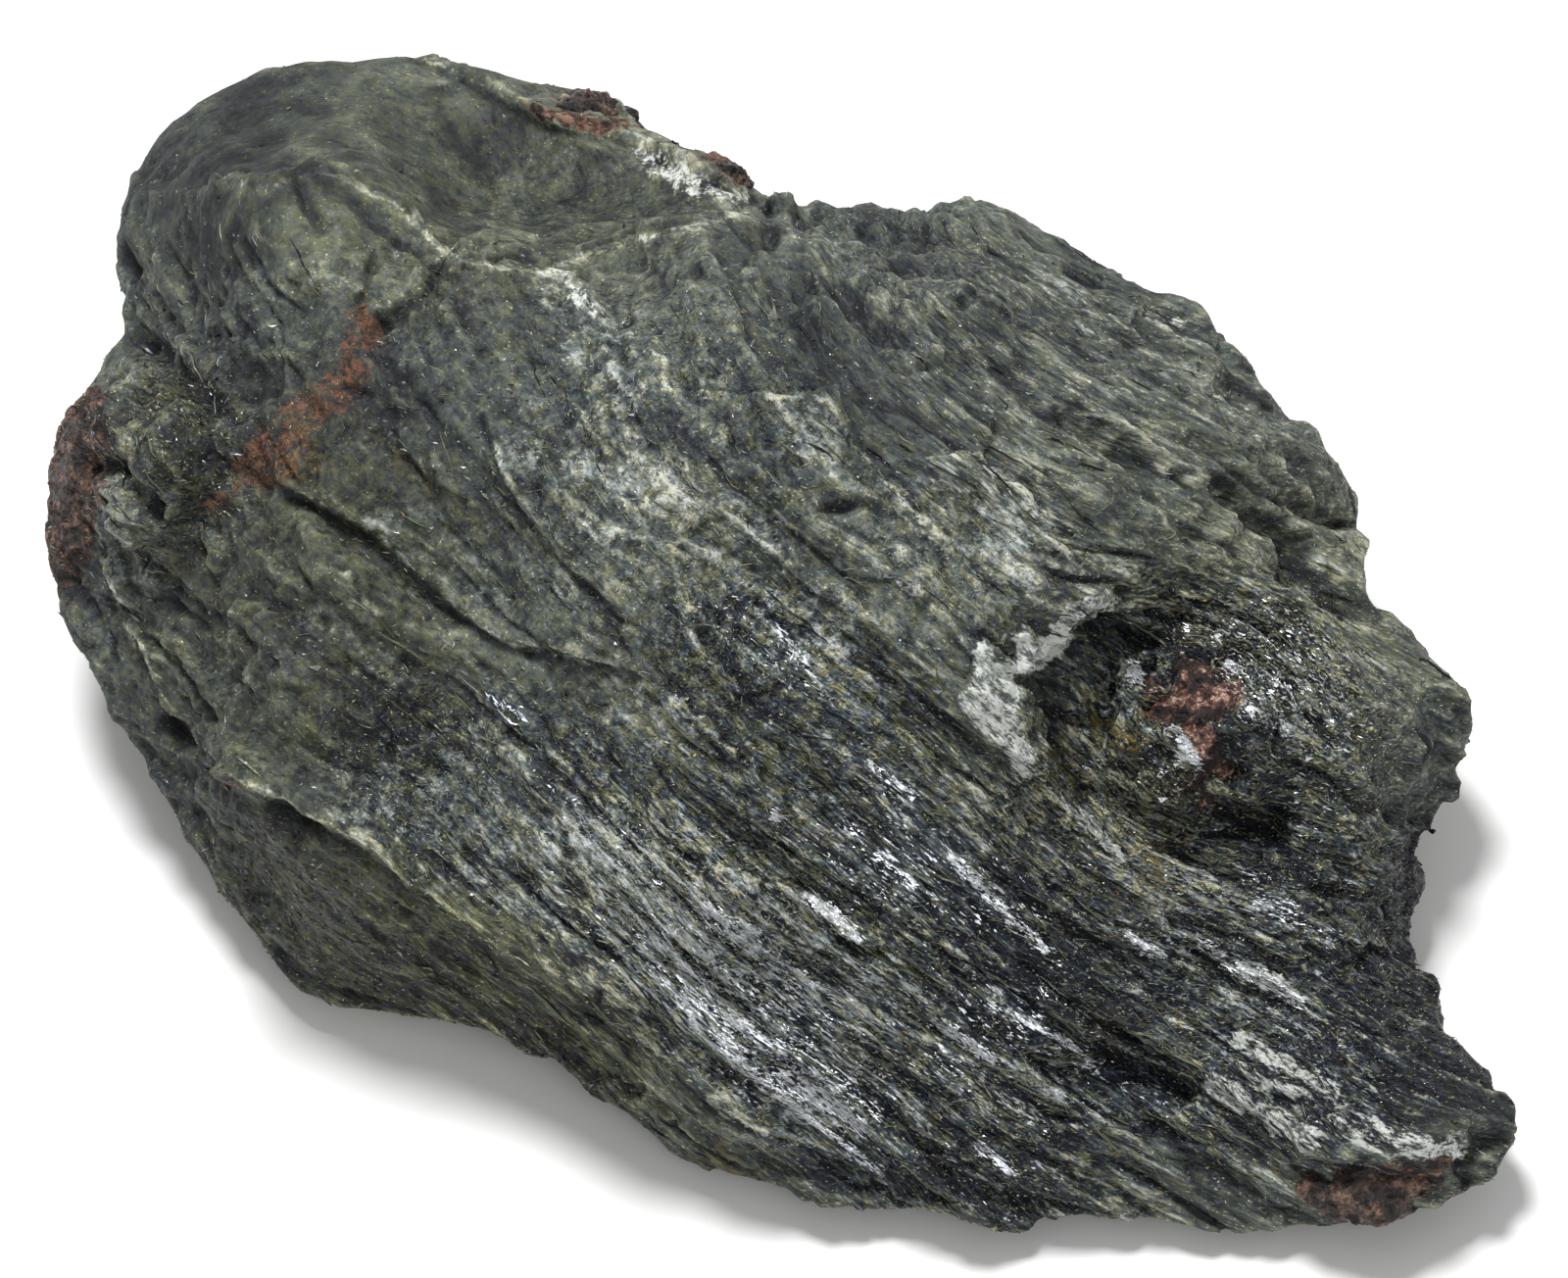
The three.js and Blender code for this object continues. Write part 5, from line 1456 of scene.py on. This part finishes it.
def dress():
    """Carves and marks the stone, sets the mica on it and adds the garnets."""
    stone = build_stone()
    stone_points = read_points(stone)
    marks = stone_marks(stone_points, stone)
    write_marks(stone, stone_points, marks)
    source = mesh_arrays(stone)
    corners, points, area, normals = source
    at_corner = {key: values[corners].mean(axis=1) for key, values in marks.items()}
    facing = normals @ SLOPE_NORMAL
    clear = (points[corners][:, :, 2].min(axis=1) > MICA_CLEAR)
    seen = np.where(facing > FRONT_FACING, 1.0, HIDDEN_FLAKES) * clear
    smooth = smooth_zones(layout(points)[0])[corners].mean(axis=1)
    rough = 1 - SMOOTH_BARE * smooth * (facing > 0)

    piece = add_schist_piece("schist", stone, schist_material(), smooth=True)
    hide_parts("fuchsite_schist")

    tone, silver, rust = at_corner["tone"], np.minimum(at_corner["silver"], 1), at_corner["rust"]
    lined, powder, crust = at_corner["lined"], at_corner["powder"], at_corner["crust"]
    rough = rough * np.maximum(0.15 + at_corner["harsh"], 0.05)
    glitter = patches(layout(points)[0], GLITTER_PATCHES, None)[corners].mean(axis=1)
    rng = np.random.default_rng(FLAKE_SEED)
    bare = (1 - 0.8 * rust) * (1 - 0.95 * silver) * (1 - np.clip(1.5 * crust, 0, 1))

    def near(middle, spread=0.16):
        return np.exp(-((tone - middle) / spread) ** 2) * bare

    mica = {name: mica_material("mica_" + name, *look) for name, look in MICA.items()}
    kinds = [
        # name, weight a triangle, count, length, width, tilt, lift, mica, sheen
        ("flakes_black", near(0.10), 8000, 0.34, 0.18, 0.35, 0.02, "black", 0),
        ("flakes_slate", near(0.28), 7000, 0.34, 0.18, 0.30, 0.03, "slate", 0),
        ("flakes_olive", near(0.34), 8000, 0.34, 0.18, 0.30, 0.03, "olive", 0),
        ("flakes_green", near(0.52), 7000, 0.32, 0.16, 0.28, 0.04, "green", 0),
        ("flakes_cream", near(0.72) + 0.05, 5000, 0.24, 0.12, 0.30, 0.04, "cream", 0),
        ("flakes_ash", near(0.72) + 0.5 * powder, 5000, 0.24, 0.12, 0.30, 0.04, "ash", 0),
        ("flakes_silver", silver ** 2 + 0.06 * glitter, 5000, 0.30, 0.09, 0.10, 0.04, "silver", 2.0),
        ("flakes_glitter", glitter ** 2, 220, 0.34, 0.20, 0.35, 0.08, "silver", 0.5),
        ("sparks", (0.5 + 0.5 * lined + 2 * glitter) * bare, 18000, 0.12, 0.07, 0.45, 0.04,
         "spark", 0),
        ("flakes_bronze", 0.03 + 1.2 * rust, 2500, 0.18, 0.10, 0.40, 0.04, "bronze", 0),
    ]
    for name, wanted, count, length, width, tilt, lift, material, sheen in kinds:
        weights = area * seen * rough * wanted
        places, normal = scatter(rng, source, weights, count)
        mesh = flake_mesh(name, rng, places, normal, length, width, tilt, lift, sheen)
        add_schist_piece(name, mesh, mica[material])

    tree = BVHTree.FromPolygons(stone_points.tolist(), corners.tolist())
    crests = area * np.where(facing > FRONT_FACING, 1.0, HIDDEN_SHEETS) * clear
    crests = crests * rough * (0.25 + lined)
    everywhere = area * seen * rough * (0.4 + near(0.6, 0.3))
    sheets = [
        # name, weight a triangle, count, size, curl, lengths, step, mica
        ("wisps_cream", everywhere, 2400, 0.038, 0.22, SHORT_SHEETS, 0.15, "cream"),
        ("wisps_ash", everywhere, 1800, 0.038, 0.22, SHORT_SHEETS, 0.15, "ash"),
        ("sheets_green", crests, 1000, 0.085, 0.06, LONG_SHEETS, SHEET_STEP, "green"),
        ("sheets_black", crests, 700, 0.10, 0.06, LONG_SHEETS, SHEET_STEP, "black"),
        ("sheets_silver", area * seen * silver ** 2, 160, 0.06, 0.03, SHORT_SHEETS, SHEET_STEP,
         "silver"),
    ]
    for name, weights, count, size, curl, lengths, step, material in sheets:
        points, faces = scattered_sheets(
            rng, tree, source, weights, count, size, curl, lengths, step)
        add_schist_piece(name, make_mesh(name, points, faces.tolist()), mica[material])
    pink = garnet_material("garnet_pink", GARNET_TONES, 0.48, 0.5)
    brown = garnet_material("garnet_brown", BROWN_TONES, 0.44, 0.35)
    for name in GARNET_NODES:
        garnet = pink if name == "garnet_pocket" else brown
        crystal = add_piece(name.replace("garnet_", "crystal_"), build_garnet(name), garnet)
        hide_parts(name)
        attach(crystal, "root")


FLOOR_REACH = 3.0
WORLD_STRENGTH = 0.45
LIT_POINT = (0, 0, 0.015)


def add_camera():
    data = bpy.data.cameras.new("camera")
    data.sensor_width = SENSOR
    data.lens = SENSOR * STATION_DISTANCE / VIEW_WIDTH
    data.clip_end = 10
    camera = bpy.data.objects.new("camera", data)
    camera.location = Vector(STATION * MM)
    camera.rotation_euler = (math.pi / 2 - SLOPE_ELEVATION, 0, 0)
    bpy.context.scene.collection.objects.link(camera)
    bpy.context.scene.camera = camera


def add_area_light(name, place, size, power):
    data = bpy.data.lights.new(name, "AREA")
    data.shape = "DISK"
    data.size, data.energy = size, power
    light = bpy.data.objects.new(name, data)
    light.location = place
    aim = Vector(LIT_POINT) - Vector(place)
    light.rotation_euler = aim.to_track_quat("-Z", "Y").to_euler()
    bpy.context.scene.collection.objects.link(light)


def add_stage():
    corners = FLOOR_REACH * np.array([[-1, -1, 0], [1, -1, 0], [1, 1, 0], [-1, 1, 0]])
    mesh = make_mesh("floor", corners, [[0, 1, 2, 3]])
    m = Material("pale_floor")
    place = m.node("ShaderNodeTexCoord").outputs["Object"]
    tint = m.blend(m.noise(place, 3.0), rgb(240, 240, 240), rgb(244, 244, 243))
    m.set(m.shader, {"Base Color": tint, "Roughness": 0.9, "Specular IOR Level": 0.1})
    mesh.materials.append(m.material)
    floor = bpy.data.objects.new("floor", mesh)
    bpy.context.scene.collection.objects.link(floor)

    world = bpy.data.worlds.new("studio")
    world.use_nodes = True
    background = world.node_tree.nodes["Background"]
    background.inputs["Color"].default_value = (1.0, 1.0, 1.0, 1)
    background.inputs["Strength"].default_value = WORLD_STRENGTH
    bpy.context.scene.world = world
    bpy.context.scene.view_settings.view_transform = "Standard"


add_camera()
add_stage()
add_area_light("key", (-0.10, 0.12, 0.55), 0.16, 3.4)  # place, size in m, power in W
add_area_light("fill", (0.10, -0.45, 0.40), 0.30, 0.5)
dress()
